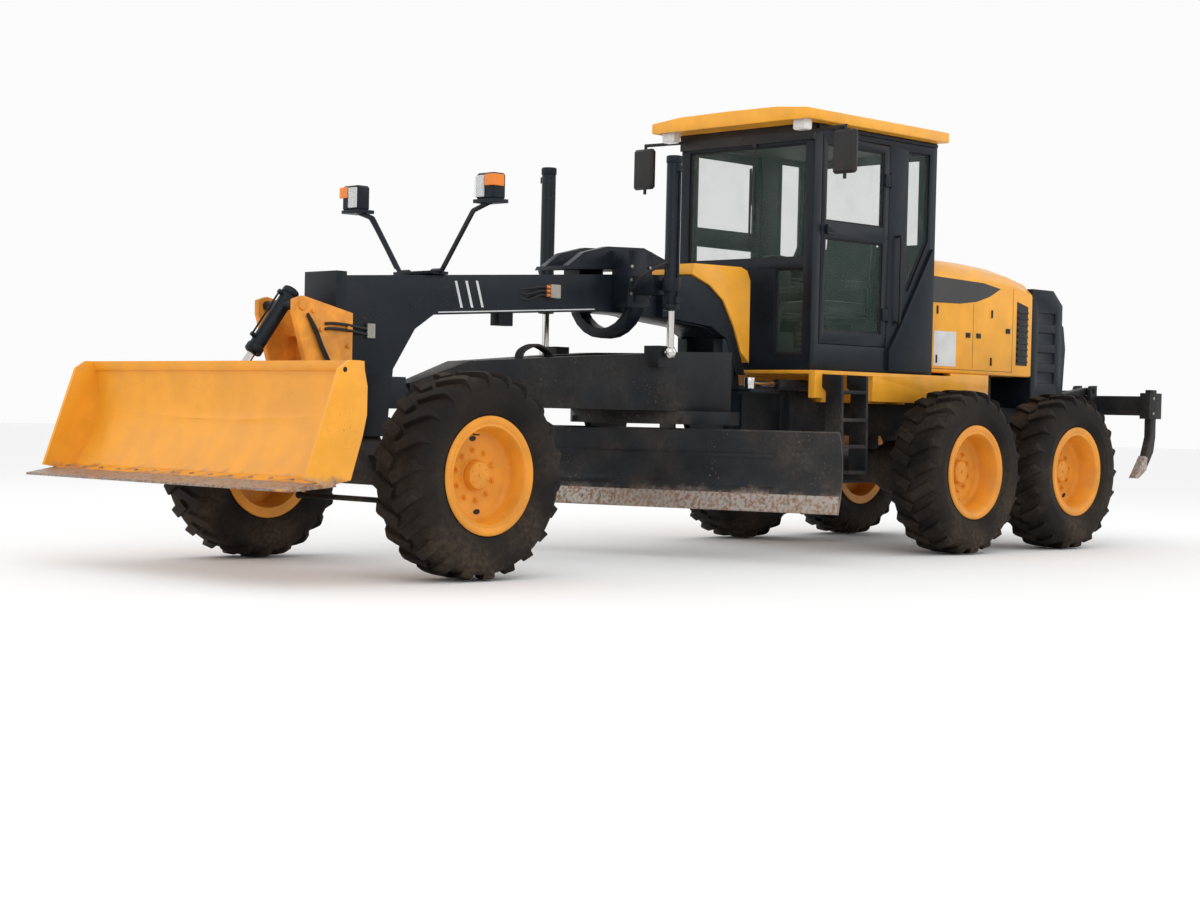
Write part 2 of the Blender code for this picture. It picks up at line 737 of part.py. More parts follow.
def build_saddle(material):
    """Lift saddle: block over the beam, lower ring and the yokes for the lift cylinders."""
    top = beam_top(SADDLE_X)
    inner = BEAM_HALF + SEAT_GAP
    mid = top - BEAM_DEPTH / 2
    deck = top + SEAT_GAP
    profile = [(3.62, deck), (3.40, deck + 0.14), (3.15, deck + 0.20), (2.75, deck + 0.215),
               (2.50, deck + 0.14), (2.42, deck)]
    rise = (beam_top(2.5) - beam_top(3.5))
    bed = [(3.62, deck), (2.42, deck + rise * 1.2)]
    solids = both(prism(profile[:-1] + [bed[1]], "Y", 0.09, 0.15))
    solids.append(prism([(3.62, deck), (3.60, deck + 0.03), (2.44, deck + 0.09), bed[1]], "Y", -0.15,
                        0.15))
    solids.append(block((2.86, 3.12), (-0.30, 0.30), (top + 0.035, top + 0.17)))
    solids += both(block((2.86, 3.12), (inner, 0.34), (mid - 0.12, top + 0.17)))
    solids += both(block((2.90, 3.08), (0.30, LIFT_Y - 0.10),
                         (LIFT_TRUNNION_Z - 0.07, LIFT_TRUNNION_Z + 0.07)))
    outer = shifted(ring_of(0.36, 13, 180, 180), 0, 2.02)
    under = shifted(ring_of(0.285, 13, 0, -180), 0, 2.02)
    solids.append(prism(outer + under, "X", 2.93, 3.05))
    body = fused(solids)
    finish(body, "lift_saddle", material)


def build_lift(side, dark, steel):
    """Blade lift cylinder: barrel on its trunnion and the rod down to the drawbar."""
    y = side * LIFT_Y
    centre = (SADDLE_X, y, LIFT_TRUNNION_Z)
    barrel = rod((SADDLE_X, y, 1.86), (SADDLE_X, y, LIFT_TOP), LIFT_RADIUS, 12)
    inboard = side * (LIFT_Y - 0.10 + PIN_GAP)
    trunnion = rod((SADDLE_X, y, LIFT_TRUNNION_Z), (SADDLE_X, inboard, LIFT_TRUNNION_Z), 0.035, 12)
    bore = rod((SADDLE_X, y, 1.80), (SADDLE_X, y, LIFT_TOP - 0.04), 0.028 + PIN_GAP)
    collar = rod((SADDLE_X, y, LIFT_TRUNNION_Z - 0.05), (SADDLE_X, y, LIFT_TRUNNION_Z + 0.05),
                 LIFT_RADIUS + 0.015, 12)
    finish(fused([barrel, collar, trunnion], [bore]), sided("lift_barrel", side), dark, centre)
    stem = rod((SADDLE_X, y, LIFT_BOTTOM), (SADDLE_X, y, LIFT_TOP - 0.18), 0.028)
    eye = ball((SADDLE_X, y, LIFT_BOTTOM), 0.05)
    finish(fused([stem, eye]), sided("lift_rod", side), steel, (SADDLE_X, y, LIFT_BOTTOM))


def build_lamps(material):
    """Base on the beam with two cranked arms that carry the lamps."""
    seat = beam_top(4.80) + SEAT_GAP
    solids = [block((4.80, 4.96), (-0.20, 0.20), (seat, seat + 0.02))]
    for side in (1, -1):
        knee = Vector((4.88, side * 0.22, seat + 0.022))
        elbow = Vector((4.88, side * 0.53, 2.45))
        head = Vector((4.88, side * 0.70, 2.50))
        solids.append(rod((4.88, side * 0.12, seat + 0.022), knee + Vector((0, side * 0.01, 0)), 0.018,
                          6))
        solids.append(rod(knee, elbow, 0.018, 6))
        solids.append(rod(elbow, head, 0.018, 6))
        span = sorted((side * 0.60, side * 0.80))
        solids.append(block((4.81, 4.95), span, (2.49, 2.515)))
        span = sorted((side * 0.62, side * 0.80))
        solids.append(bevel(block((4.83, 4.95), span, (2.51, 2.69)), 0.015))
    finish(fused(solids), "lamp_bracket", material)


def build_front_axle(material):
    """Axle beam with a centre boss under the head and a fork at each end."""
    x = FRONT_AXLE_X
    z = TYRE_RADIUS
    solids = [
        block((x - 0.075, x + 0.075), (-0.66, 0.66), (z - 0.10, z + 0.10)),
        prism([(-0.30, z), (-0.13, 0.8995), (0.13, 0.8995), (0.30, z)], "X", x - 0.11, x + 0.11),
    ]
    ear = [(0.60, z - 0.10), (0.60, z + 0.10), (0.74, z + 0.07)]
    ear += shifted(ring_of(0.06, 7, 90, -180), LEAN_Y, z) + [(0.74, z - 0.07)]
    for near in (-0.1056, 0.0706):
        solids += both(prism(ear, "X", x + near, x + near + 0.035))
        solids += both(block((x + near, x + near + 0.035), (0.55, 0.66), (z - 0.08, z + 0.08)))
    bridge = both(block((x - 0.11, x + 0.11), (0.56, 0.645), (z - 0.095, z + 0.095)))
    holes = both(rod((x - 0.2, LEAN_Y, z), (x + 0.2, LEAN_Y, z), running_hole(KINGPIN_RADIUS)))
    finish(fused(solids + bridge, holes), "front_axle", material)


def build_lean_yoke(side, material):
    """Cross piece with the lean pin along the machine and the upright kingpin."""
    x = FRONT_AXLE_X
    y = side * LEAN_Y
    z = TYRE_RADIUS
    solids = [
        block((x - 0.07, x + 0.07), (y - 0.055, y + 0.055), (z - 0.085, z + 0.085)),
        rod((x - 0.125, y, z), (x + 0.125, y, z), KINGPIN_RADIUS),
        rod((x, y, z - STEER_DROP - 0.025), (x, y, z + 0.15), KINGPIN_RADIUS),
    ]
    finish(fused(solids), sided("lean_yoke", side), material, (x, y, z))


def build_knuckle(side, material):
    """Knuckle round the yoke: two arms, a web, the spindle and the steering arm."""
    x = FRONT_AXLE_X
    z = TYRE_RADIUS
    arm = shifted(ring_of(0.06, 7, 180, 180), x, LEAN_Y) + [(x + 0.06, 1.0), (x - 0.06, 1.0)]
    solids = [prism(arm, "Z", z + 0.0856, z + 0.125), prism(arm, "Z", z - STEER_DROP - 0.017, z - 0.0856)]
    solids.append(block((x - 0.06, x + 0.06), (0.955, 1.0), (z - 0.12, z + 0.12)))
    solids.append(spindle(1, x, 0.97))
    steer = [(x, LEAN_Y - 0.045), (x - STEER_ARM, LEAN_Y - 0.04)]
    steer += shifted(ring_of(0.04, 5, -90, -180), x - STEER_ARM, LEAN_Y)[1:]
    steer += [(x, LEAN_Y + 0.06)]
    solids.append(prism(steer, "Z", z - STEER_DROP - 0.017, z - STEER_DROP + 0.017))
    kingpin = rod((x, LEAN_Y, z - 0.3), (x, LEAN_Y, z + 0.3), running_hole(KINGPIN_RADIUS))
    pin_x = x - STEER_ARM
    if side > 0:
        stud_hole = rod((pin_x, LEAN_Y, z - 0.3), (pin_x, LEAN_Y, z), running_hole(0.016))
        knuckle = fused(solids, [kingpin, stud_hole])
    else:
        solids.append(ball((pin_x, LEAN_Y, TIE_ROD_Z), 0.028))
        solids.append(rod((pin_x, LEAN_Y, TIE_ROD_Z), (pin_x, LEAN_Y, z - STEER_DROP), 0.014, 10))
        right = fused(solids, [kingpin])
        knuckle = mirrored(right)
        bpy.data.objects.remove(right, do_unlink=True)
    finish(knuckle, sided("knuckle", side), material, (x, side * LEAN_Y, z))


def build_tie_rod(material):
    """Stud in the left steering arm and the rod between the two ball joints."""
    x = FRONT_AXLE_X - STEER_ARM
    z = TIE_ROD_Z
    stud = fused([
        ball((x, LEAN_Y, z), 0.028),
        rod((x, LEAN_Y, z), (x, LEAN_Y, TYRE_RADIUS - STEER_DROP + 0.03), 0.016),
    ])
    finish(stud, "tie_rod_stud", material, (x, LEAN_Y, z))
    reach = LEAN_Y - 0.0285
    bar = rod((x, -reach, z), (x, reach, z), 0.02, 10)
    finish(bar, "tie_rod", material, (x, LEAN_Y, z))


# ---------------------------------------------------------------- drawbar, circle, moldboard
def build_drawbar(material):
    """Tapered A-shaped drawbar with its ball and the brackets for the lift rods."""
    low = CIRCLE_TOP + PIN_GAP
    side_view = [(5.02, 1.14), (5.02, 1.27), (4.50, 1.44), (2.70, 1.565), (2.06, 1.583), (2.06, low),
                 (3.70, low)]
    half = [(5.02, 0.07), (4.40, 0.13), (3.35, 0.46), (2.80, 0.55), (2.16, 0.55), (2.06, 0.47)]
    plan = half + [(x, -y) for x, y in reversed(half)]
    body = prism(side_view, "Y", -0.7, 0.7)
    combine(body, prism(plan, "Z", 0.9, 1.8), "INTERSECT")
    eye = [(3.85, 0.0), (3.30, 0.26), (2.72, 0.36), (2.16, 0.34), (2.16, -0.34), (2.72, -0.36),
           (3.30, -0.26)]
    opening = prism(eye, "Z", 0.9, 1.8)
    solids = [body, ball((BALL_X, 0, BALL_Z), BALL_RADIUS)]
    solids += both(block((SADDLE_X - 0.07, SADDLE_X + 0.07), (0.46, LIFT_Y - 0.05 - PIN_GAP),
                         (1.44, 1.60)))
    drawbar = fused(solids, [opening])
    cross = fused([block((2.34, 2.50), (-0.45, 0.45), (low, 1.30))])
    combine(drawbar, cross, "UNION")
    finish(drawbar, "drawbar", material, (BALL_X, 0, BALL_Z))


def turn_to_blade(item):
    """Turn a piece modelled about the circle's centre to the blade's angle."""
    item.data.transform(
        Matrix.Translation((CIRCLE_X, 0, 0)) @ Matrix.Rotation(math.radians(BLADE_ANGLE), 4, "Z")
    )
    return item


def build_circle(material):
    """Toothed ring's body, its cross plate and the two arms that hold the blade."""
    low = CIRCLE_TOP - CIRCLE_THICK
    solids = [prism(ring_of(CIRCLE_RADIUS, 32), "Z", low, CIRCLE_TOP)]
    arm = [(-0.35, low + 0.03), (-0.30, 0.93), (0.08, 0.60)]
    arm += shifted(ring_of(0.055, 6, 200, 170), TIP_AHEAD, TIP_Z)
    arm += [(0.28, 0.93), (0.36, low + 0.03)]
    solids += both(prism(arm, "Y", ARM_HALF - 0.025, ARM_HALF + 0.025))
    cuts = [prism(ring_of(CIRCLE_RADIUS - 0.12, 24), "Z", low - 0.02, CIRCLE_TOP + 0.05)]
    ring = fused(solids[:1], cuts)
    bars = both(block((-0.50, 0.50), (ARM_HALF - 0.05, ARM_HALF + 0.05), (low, low + 0.05)))
    whole = fused([ring] + bars + solids[1:])
    holes = both(rod((TIP_AHEAD, 0.3, TIP_Z), (TIP_AHEAD, 0.6, TIP_Z), running_hole(0.025)))
    whole = fused([whole], holes)
    finish(turn_to_blade(whole), "circle", material, (CIRCLE_X, 0, CIRCLE_TOP))


def build_blade_carrier(material):
    """Tip bracket: two cheeks on the tip pins, joined by a tube, with jaws round the rails."""
    inside = ARM_HALF - 0.025 - RUN_GAP
    cheek = [
        (TIP_AHEAD - 0.05, TIP_Z - 0.05),
        (TIP_AHEAD - 0.05, TIP_Z + 0.08),
        (RAIL_AHEAD - 0.06, RAIL_UP[1] + 0.045),
        (RAIL_AHEAD + 0.035, RAIL_UP[1] + 0.045),
        (RAIL_AHEAD + 0.035, RAIL_UP[0] - 0.045),
    ]
    solids = both(prism(cheek, "Y", inside - 0.06, inside))
    solids.append(rod((TIP_AHEAD, -(ARM_HALF + 0.03), TIP_Z), (TIP_AHEAD, ARM_HALF + 0.03, TIP_Z),
                      0.025, 12))
    solids.append(rod((TIP_AHEAD, -inside + 0.02, TIP_Z), (TIP_AHEAD, inside - 0.02, TIP_Z), 0.045, 12))
    cuts = []
    for z in RAIL_UP:
        grow = RAIL_SIZE / 2 + 0.001
        cuts.append(block((RAIL_AHEAD - grow, RAIL_AHEAD + 0.2), (-0.6, 0.6), (z - grow, z + grow)))
    carrier = turn_to_blade(fused(solids, cuts))
    pin = Matrix.Rotation(math.radians(BLADE_ANGLE), 4, "Z") @ Vector((TIP_AHEAD, 0, TIP_Z))
    finish(carrier, "blade_carrier", material, (CIRCLE_X + pin.x, pin.y, TIP_Z))


def build_moldboard(material):
    """Curved moldboard with its cutting edge, end bits and the two slide rails behind."""
    middle = -BLADE_SHIFT
    low = BLADE_LOW + 0.03
    half = (BLADE_TOP - low) / 2
    radius = (half ** 2 + BLADE_SAG ** 2) / (2 * BLADE_SAG)
    sweep = math.asin(half / radius)
    thick = 0.022
    front = []
    back = []
    for step in range(-4, 5):
        angle = sweep * step / 4
        z = low + half + radius * math.sin(angle)
        centre = BLADE_AHEAD + radius - BLADE_SAG / 2
        front.append((centre - radius * math.cos(angle), z))
        back.append((centre - (radius + thick) * math.cos(angle),
                     low + half + (radius + thick) * math.sin(angle)))
    sheet = prism(front + back[::-1], "Y", middle - HALF_LENGTH + 0.01, middle + HALF_LENGTH - 0.01)
    edge_x = front[0][0]
    edge = [(edge_x - 0.015, BLADE_LOW + 0.13), (edge_x + 0.022, BLADE_LOW + 0.01),
            (edge_x + 0.022, BLADE_LOW),
            (edge_x - 0.002, BLADE_LOW), (edge_x - 0.05, BLADE_LOW + 0.13)]
    bit = prism(edge, "Y", middle - HALF_LENGTH, middle + HALF_LENGTH)
    solids = [sheet, bit]
    web_back = RAIL_AHEAD + RAIL_SIZE / 2
    for z in RAIL_UP:
        small = RAIL_SIZE / 2
        solids.append(block((RAIL_AHEAD - small, web_back), (middle - 1.30, middle + 1.30),
                            (z - small, z + small)))
        solids.append(block((web_back - 0.01, BLADE_AHEAD - BLADE_SAG / 2 + 0.02),
                            (middle - 1.30, middle + 1.30), (z - 0.012, z + 0.012)))
    board = turn_to_blade(fused(solids))
    finish(board, "moldboard", material, (CIRCLE_X, 0, BLADE_LOW))


# ---------------------------------------------------------------- dozer blade
def build_dozer_bracket(material):
    """Nose bracket: two cheeks, a back plate and the pins for the push frame and cylinder."""
    cheek = [(5.66, 1.72), (6.08, 1.815), (6.15, 1.79), (6.15, 1.70), (6.02, 1.30), (5.90, 0.90),
             (5.76, 0.90), (5.66, 1.05)]
    solids = both(prism(cheek, "Y", BEAM_HALF + SEAT_GAP, BEAM_HALF + 0.045))
    solids.append(block((5.785, 5.83), (-BEAM_HALF - 0.01, BEAM_HALF + 0.01), (1.00, 1.60)))
    solids.append(block((5.82, 5.90), (-BEAM_HALF - 0.01, BEAM_HALF + 0.01), (1.56, 1.64)))
    push = rod((DOZER_PIVOT_X, -0.36, DOZER_PIVOT_Z), (DOZER_PIVOT_X, 0.36, DOZER_PIVOT_Z), 0.028)
    solids.append(push)
    finish(fused(solids), "dozer_bracket", material)


def build_dozer_blade(material):
    """Concave blade with end plates, bare edge and the push frame behind it."""
    top = Vector((DOZER_TOP_X, 0, DOZER_TOP_Z - 0.03))
    foot = Vector((DOZER_EDGE_X - 0.32, 0, DOZER_EDGE_Z + 0.04))
    chord = foot - top
    normal = Vector((-chord.z, 0, chord.x)).normalized()
    if normal.x > 0:
        normal = -normal
    front = []
    back = []
    for step in range(9):
        share = step / 8
        sag = 0.10 * (1 - (2 * share - 1) ** 2)
        point = top + chord * share + normal * sag
        front.append((point.x, point.z))
        rear = point + normal * 0.018
        back.append((rear.x, rear.z))
    half = DOZER_HALF
    sheet = prism(front + back[::-1], "Y", -half + 0.01, half - 0.01)
    lip = [(foot.x - 0.03, foot.z + 0.03), (DOZER_EDGE_X, DOZER_EDGE_Z + 0.006),
           (DOZER_EDGE_X, DOZER_EDGE_Z - 0.008),
           (foot.x - 0.03, foot.z - 0.02)]
    edge = prism(lip, "Y", -half, half)
    end = [
        (top.x - 0.03, top.z - 0.02),
        (top.x, DOZER_TOP_Z),
        (top.x + 0.08, DOZER_TOP_Z),
        (top.x + 0.16, DOZER_TOP_Z - 0.05),
        (DOZER_EDGE_X - 0.12, DOZER_EDGE_Z + 0.06),
        (foot.x, foot.z - 0.01),
        (foot.x - 0.14, foot.z + 0.02),
        (top.x - 0.025, 0.92),
        (top.x - 0.055, 1.05),
        (top.x - 0.055, 1.22),
    ]
    plates = both(prism(end, "Y", half - 0.026, half))
    cap = prism([(top.x - 0.04, top.z - 0.03), (top.x - 0.035, top.z + 0.028),
                 (top.x + 0.03, top.z + 0.03), (top.x + 0.01, top.z - 0.03)],
                "Y", -half + 0.01, half - 0.01)
    solids = [sheet, edge, cap] + plates
    inner = BEAM_HALF + 0.045 + RUN_GAP
    arm = shifted(ring_of(0.065, 7, 90, 180), DOZER_PIVOT_X, DOZER_PIVOT_Z)
    arm += [(6.658, 0.80), (6.606, 0.95), (6.570, 1.10), (6.56, 1.14)]
    solids += both(prism(arm, "Y", inner, inner + 0.07))
    solids.append(block((6.50, 6.60), (-inner - 0.05, inner + 0.05), (0.86, 1.00)))
    eye_x, eye_z = DOZER_CYLINDER[1]
    ear = [(eye_x - 0.045, eye_z - 0.03), (eye_x - 0.045, eye_z + 0.04), (6.576, 1.30), (6.567, 1.12)]
    solids += both(prism(ear, "Y", 0.052 + PIN_GAP, 0.08))
    pin_holes = both(rod((DOZER_PIVOT_X, 0.1, DOZER_PIVOT_Z), (DOZER_PIVOT_X, 0.6, DOZER_PIVOT_Z),
                         running_hole(0.028)))
    finish(fused(solids, pin_holes), "dozer_blade", material, (DOZER_PIVOT_X, 0, DOZER_PIVOT_Z))


def build_cylinder(names, start, end, radius, reach, inner, pin, dark, steel):
    """Hydraulic cylinder whose barrel turns at start and whose rod's eye is at end.

    reach is where the barrel begins and ends, and inner where the rod begins, all
    measured from start; pin is half of the cross pin that carries the barrel.
    """
    start = Vector(start)
    end = Vector(end)
    pin = Vector(pin)
    along = (end - start).normalized()
    stem_radius = radius * 0.55
    barrel = rod(start + along * reach[0], start + along * reach[1], radius)
    hub = rod(start - pin, start + pin, radius * 0.62)
    bore = rod(start + along * (reach[0] + 0.03), start + along * (reach[1] + 0.05),
               stem_radius + PIN_GAP)
    finish(fused([barrel, hub], [bore]), names[0], dark, start)
    stem = rod(start + along * inner, end, stem_radius)
    eye_half = pin.normalized() * radius
    eye = rod(end - eye_half, end + eye_half, radius)
    finish(fused([stem, eye]), names[1], steel, end)


def build_dozer_cylinder(dark, steel):
    """Lift cylinder of the dozer blade."""
    (x0, z0), (x1, z1) = DOZER_CYLINDER
    half = BEAM_HALF - PIN_GAP
    names = ("dozer_barrel", "dozer_rod")
    build_cylinder(names, (x0, 0, z0), (x1, 0, z1), 0.052, (-0.13, 0.39), -0.04, (0, half, 0), dark,
                   steel)


def build_articulation_cylinders(dark, steel):
    """Pair of cylinders that swing the front frame."""
    for side in (1, -1):
        y = side * STEER_PIN_Y
        names = (sided("articulation_barrel", side), sided("articulation_rod", side))
        start = (STEER_PIN_REAR, y, STEER_PIN_Z)
        end = (STEER_PIN_FRONT, y, STEER_PIN_Z)
        build_cylinder(names, start, end, STEER_RADIUS, (-0.05, 0.50), 0.27, (0, 0, STEER_RADIUS), dark,
                       steel)


# ---------------------------------------------------------------- ripper
def bar_outline(start, end, half):
    """Outline of a flat bar with round ends between two pins in the XZ plane."""
    along = math.atan2(end[1] - start[1], end[0] - start[0])
    outline = []
    for centre, turn in ((start, along + math.pi / 2), (end, along - math.pi / 2)):
        for step in range(5):
            angle = turn + math.pi * step / 4
            outline.append((centre[0] + half * math.cos(angle), centre[1] + half * math.sin(angle)))
    return outline


def build_ripper_links(name, rise, half, tube, material):
    """Two bars joined by a cross tube, hinged on the tower and on the toolbar."""
    start = (RIPPER_PIVOT_X, RIPPER_PIVOT_Z + rise)
    end = (RIPPER_PIN_X, RIPPER_PIVOT_Z + RIPPER_RISE + rise)
    bar = prism(bar_outline(start, end, half), "Y", RIPPER_ARM_Y - 0.045, RIPPER_ARM_Y + 0.045)
    solids = both(bar)
    middle = tuple(a + (b - a) * tube for a, b in zip(start, end))
    solids.append(rod((middle[0], -RIPPER_ARM_Y, middle[1]), (middle[0], RIPPER_ARM_Y, middle[1]), 0.03))
    for x, z in (start, end):
        solids += both(rod((x, RIPPER_ARM_Y - 0.09, z), (x, RIPPER_ARM_Y + 0.09, z), 0.024))
    finish(fused(solids), name, material, (start[0], 0, start[1]))


def build_ripper_toolbar(material):
    """Toolbar with its clevises and three pointed shanks."""
    x = RIPPER_BAR_X
    solids = [block((x - 0.075, x + 0.075), (-RIPPER_BAR_HALF, RIPPER_BAR_HALF),
                    (RIPPER_BAR_Z - 0.09, RIPPER_BAR_Z + 0.09))]
    low = RIPPER_PIVOT_Z + RIPPER_RISE
    ear = [(x + 0.06, low - 0.055), (x + 0.06, low + LINK_RISE + 0.055),
           (RIPPER_PIN_X + 0.02, low + LINK_RISE + 0.05),
           (RIPPER_PIN_X + 0.05, low + LINK_RISE), (RIPPER_PIN_X + 0.05, low), (RIPPER_PIN_X + 0.02,
                                                                                low - 0.05)]
    for y in (RIPPER_ARM_Y - 0.08, RIPPER_ARM_Y + 0.08):
        solids += both(prism(ear, "Y", y - 0.02, y + 0.02))
    shank = [
        (x - 0.05, 1.42), (x + 0.05, 1.42), (x + 0.05, 0.98), (x + 0.12, 0.80), (x + 0.27, 0.625),
        (x + 0.30, 0.60), (x + 0.24, 0.60), (x + 0.10, 0.68), (x - 0.02, 0.84), (x - 0.05, 0.98),
    ]
    for y in (-RIPPER_BAR_HALF + 0.05, 0.0, RIPPER_BAR_HALF - 0.05):
        solids.append(prism(shank, "Y", y - 0.03, y + 0.03))
        solids.append(block((x - 0.11, x + 0.11), (y - 0.05, y + 0.05),
                            (RIPPER_BAR_Z - 0.12, RIPPER_BAR_Z + 0.12)))
    cuts = []
    for z in (low, low + LINK_RISE):
        cuts += both(rod((RIPPER_PIN_X, 0.25, z), (RIPPER_PIN_X, 0.6, z), running_hole(0.024)))
    finish(fused(solids, cuts), "ripper_toolbar", material, (RIPPER_PIN_X, 0, low))


def build_ripper_cylinder(dark, steel):
    """Cylinder between the tower and the ripper arms."""
    x, z = RIPPER_CYLINDER
    share = 0.62
    arm_x = RIPPER_PIVOT_X + (RIPPER_PIN_X - RIPPER_PIVOT_X) * share
    arm_z = RIPPER_PIVOT_Z + RIPPER_RISE * share
    towards = (Vector((arm_x, 0, arm_z)) - Vector((x, 0, z))).normalized()
    end = Vector((arm_x, 0, arm_z)) - towards * 0.092
    half = RIPPER_ARM_Y - 0.10 - PIN_GAP
    names = ("ripper_barrel", "ripper_rod")
    build_cylinder(names, (x, 0, z), end, 0.05, (-0.06, 0.52), 0.05, (0, half, 0), dark, steel)


# ---------------------------------------------------------------- the whole machine
def build():
    """Make every sub-part."""
    yellow = make_material("orange_yellow_paint", (0.83, 0.37, 0.03), 0.38)
    slate = make_material("slate_paint", (0.018, 0.024, 0.031), 0.42)
    rubber = make_material("tyre_rubber", (0.022, 0.019, 0.017), 0.85)
    steel = make_material("bright_steel", (0.55, 0.55, 0.53), 0.30, 1.0)
    iron = make_material("dark_iron", (0.03, 0.03, 0.032), 0.60)
    trim = make_material("cab_trim", (0.03, 0.036, 0.034), 0.75)

    build_rear_frame(slate)
    build_tandem_drive(slate)
    build_platform(yellow)
    build_hood(yellow)
    build_engine(iron)
    build_guard(slate)
    build_cab_shell(slate)
    build_cab_roof(yellow)
    build_mirrors(slate)
    build_seat(trim)
    build_console(trim)
    build_front_frame(slate)
    build_neck_housing(yellow)
    build_saddle(slate)
    build_lamps(slate)
    build_front_axle(slate)
    build_tie_rod(slate)
    build_drawbar(slate)
    build_circle(slate)
    build_blade_carrier(slate)
    build_moldboard(slate)
    build_dozer_bracket(yellow)
    build_dozer_blade(yellow)
    build_dozer_cylinder(slate, steel)
    build_articulation_cylinders(slate, steel)
    build_ripper_links("ripper_arms", 0.0, *ARMS_TUBE, slate)
    build_ripper_links("ripper_links", LINK_RISE, *LINKS_TUBE, slate)
    build_ripper_toolbar(slate)
    build_ripper_cylinder(slate, steel)
    for side in (1, -1):
        build_ladder(side, slate)
        build_cab_door(side, slate)
        build_lean_yoke(side, slate)
        build_knuckle(side, slate)
        build_lift(side, slate, steel)
        build_wheel("front", side, FRONT_AXLE_X, FRONT_DISH, rubber, yellow)
        build_wheel("mid", side, 0.0, REAR_DISH, rubber, yellow)
        build_wheel("rear", side, REAR_AXLE_X, REAR_DISH, rubber, yellow)


clear_scene()
MACHINE = bpy.data.objects.new("machine", None)
MACHINE.location = (MID_AXLE_X, 0, 0)
bpy.context.collection.objects.link(MACHINE)
build()
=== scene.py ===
"""Finished looks of an articulated motor grader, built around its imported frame.

Lengths are metres. A station is a distance ahead of the middle axle, and `spot` turns a station
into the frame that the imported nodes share.
"""

import logging
import math
from dataclasses import dataclass, field
from enum import Enum
from typing import Iterable, Sequence

import bpy
from mathutils import Matrix, Vector


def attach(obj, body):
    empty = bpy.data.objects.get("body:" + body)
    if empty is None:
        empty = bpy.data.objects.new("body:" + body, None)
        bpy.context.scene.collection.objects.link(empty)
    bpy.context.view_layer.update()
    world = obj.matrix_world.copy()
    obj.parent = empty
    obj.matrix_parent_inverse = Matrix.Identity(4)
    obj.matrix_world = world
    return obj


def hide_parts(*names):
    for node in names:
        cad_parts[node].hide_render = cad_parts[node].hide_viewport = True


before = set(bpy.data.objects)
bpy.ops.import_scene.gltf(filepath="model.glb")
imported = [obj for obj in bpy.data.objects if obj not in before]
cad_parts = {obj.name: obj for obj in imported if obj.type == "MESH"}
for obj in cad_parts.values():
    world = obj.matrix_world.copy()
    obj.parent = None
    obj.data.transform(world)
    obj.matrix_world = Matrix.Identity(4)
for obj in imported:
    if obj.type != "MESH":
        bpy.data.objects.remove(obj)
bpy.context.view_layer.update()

LOG = logging.getLogger("grader")
MID_AXLE = -1.86            # the middle axle's place along the frame's X
WHEEL_RADIUS = 0.675
WHEEL_Y = 1.15
FRONT_AXLE = 5.44
REAR_AXLE = -1.54
SIDES = ((1, "left"), (-1, "right"))

Point = tuple[float, float]
Place = tuple[float, float, float]


class Axis(Enum):
    """A main direction, with its unit vector as the value."""

    X = (1.0, 0.0, 0.0)
    Y = (0.0, 1.0, 0.0)
    Z = (0.0, 0.0, 1.0)

    @property
    def vector(self) -> Vector:
        """The direction as a vector."""
        return Vector(self.value)


class Slot(Enum):
    """The material slots of the record."""

    YELLOW = "yellow_paint"
    SLATE = "slate_paint"
    STEEL = "bright_steel"
    IRON = "dark_iron"
    TRIM = "cab_trim"
    TYRE = "tyre"


def spot(station: float, y: float, z: float) -> Vector:
    """Turn a station into a point of the frame.

    Args:
        station: distance ahead of the middle axle.
        y: distance to the driver's left.
        z: height above the ground.

    Returns:
        The point in the frame's own coordinates.
    """
    return Vector((station + MID_AXLE, y, z))


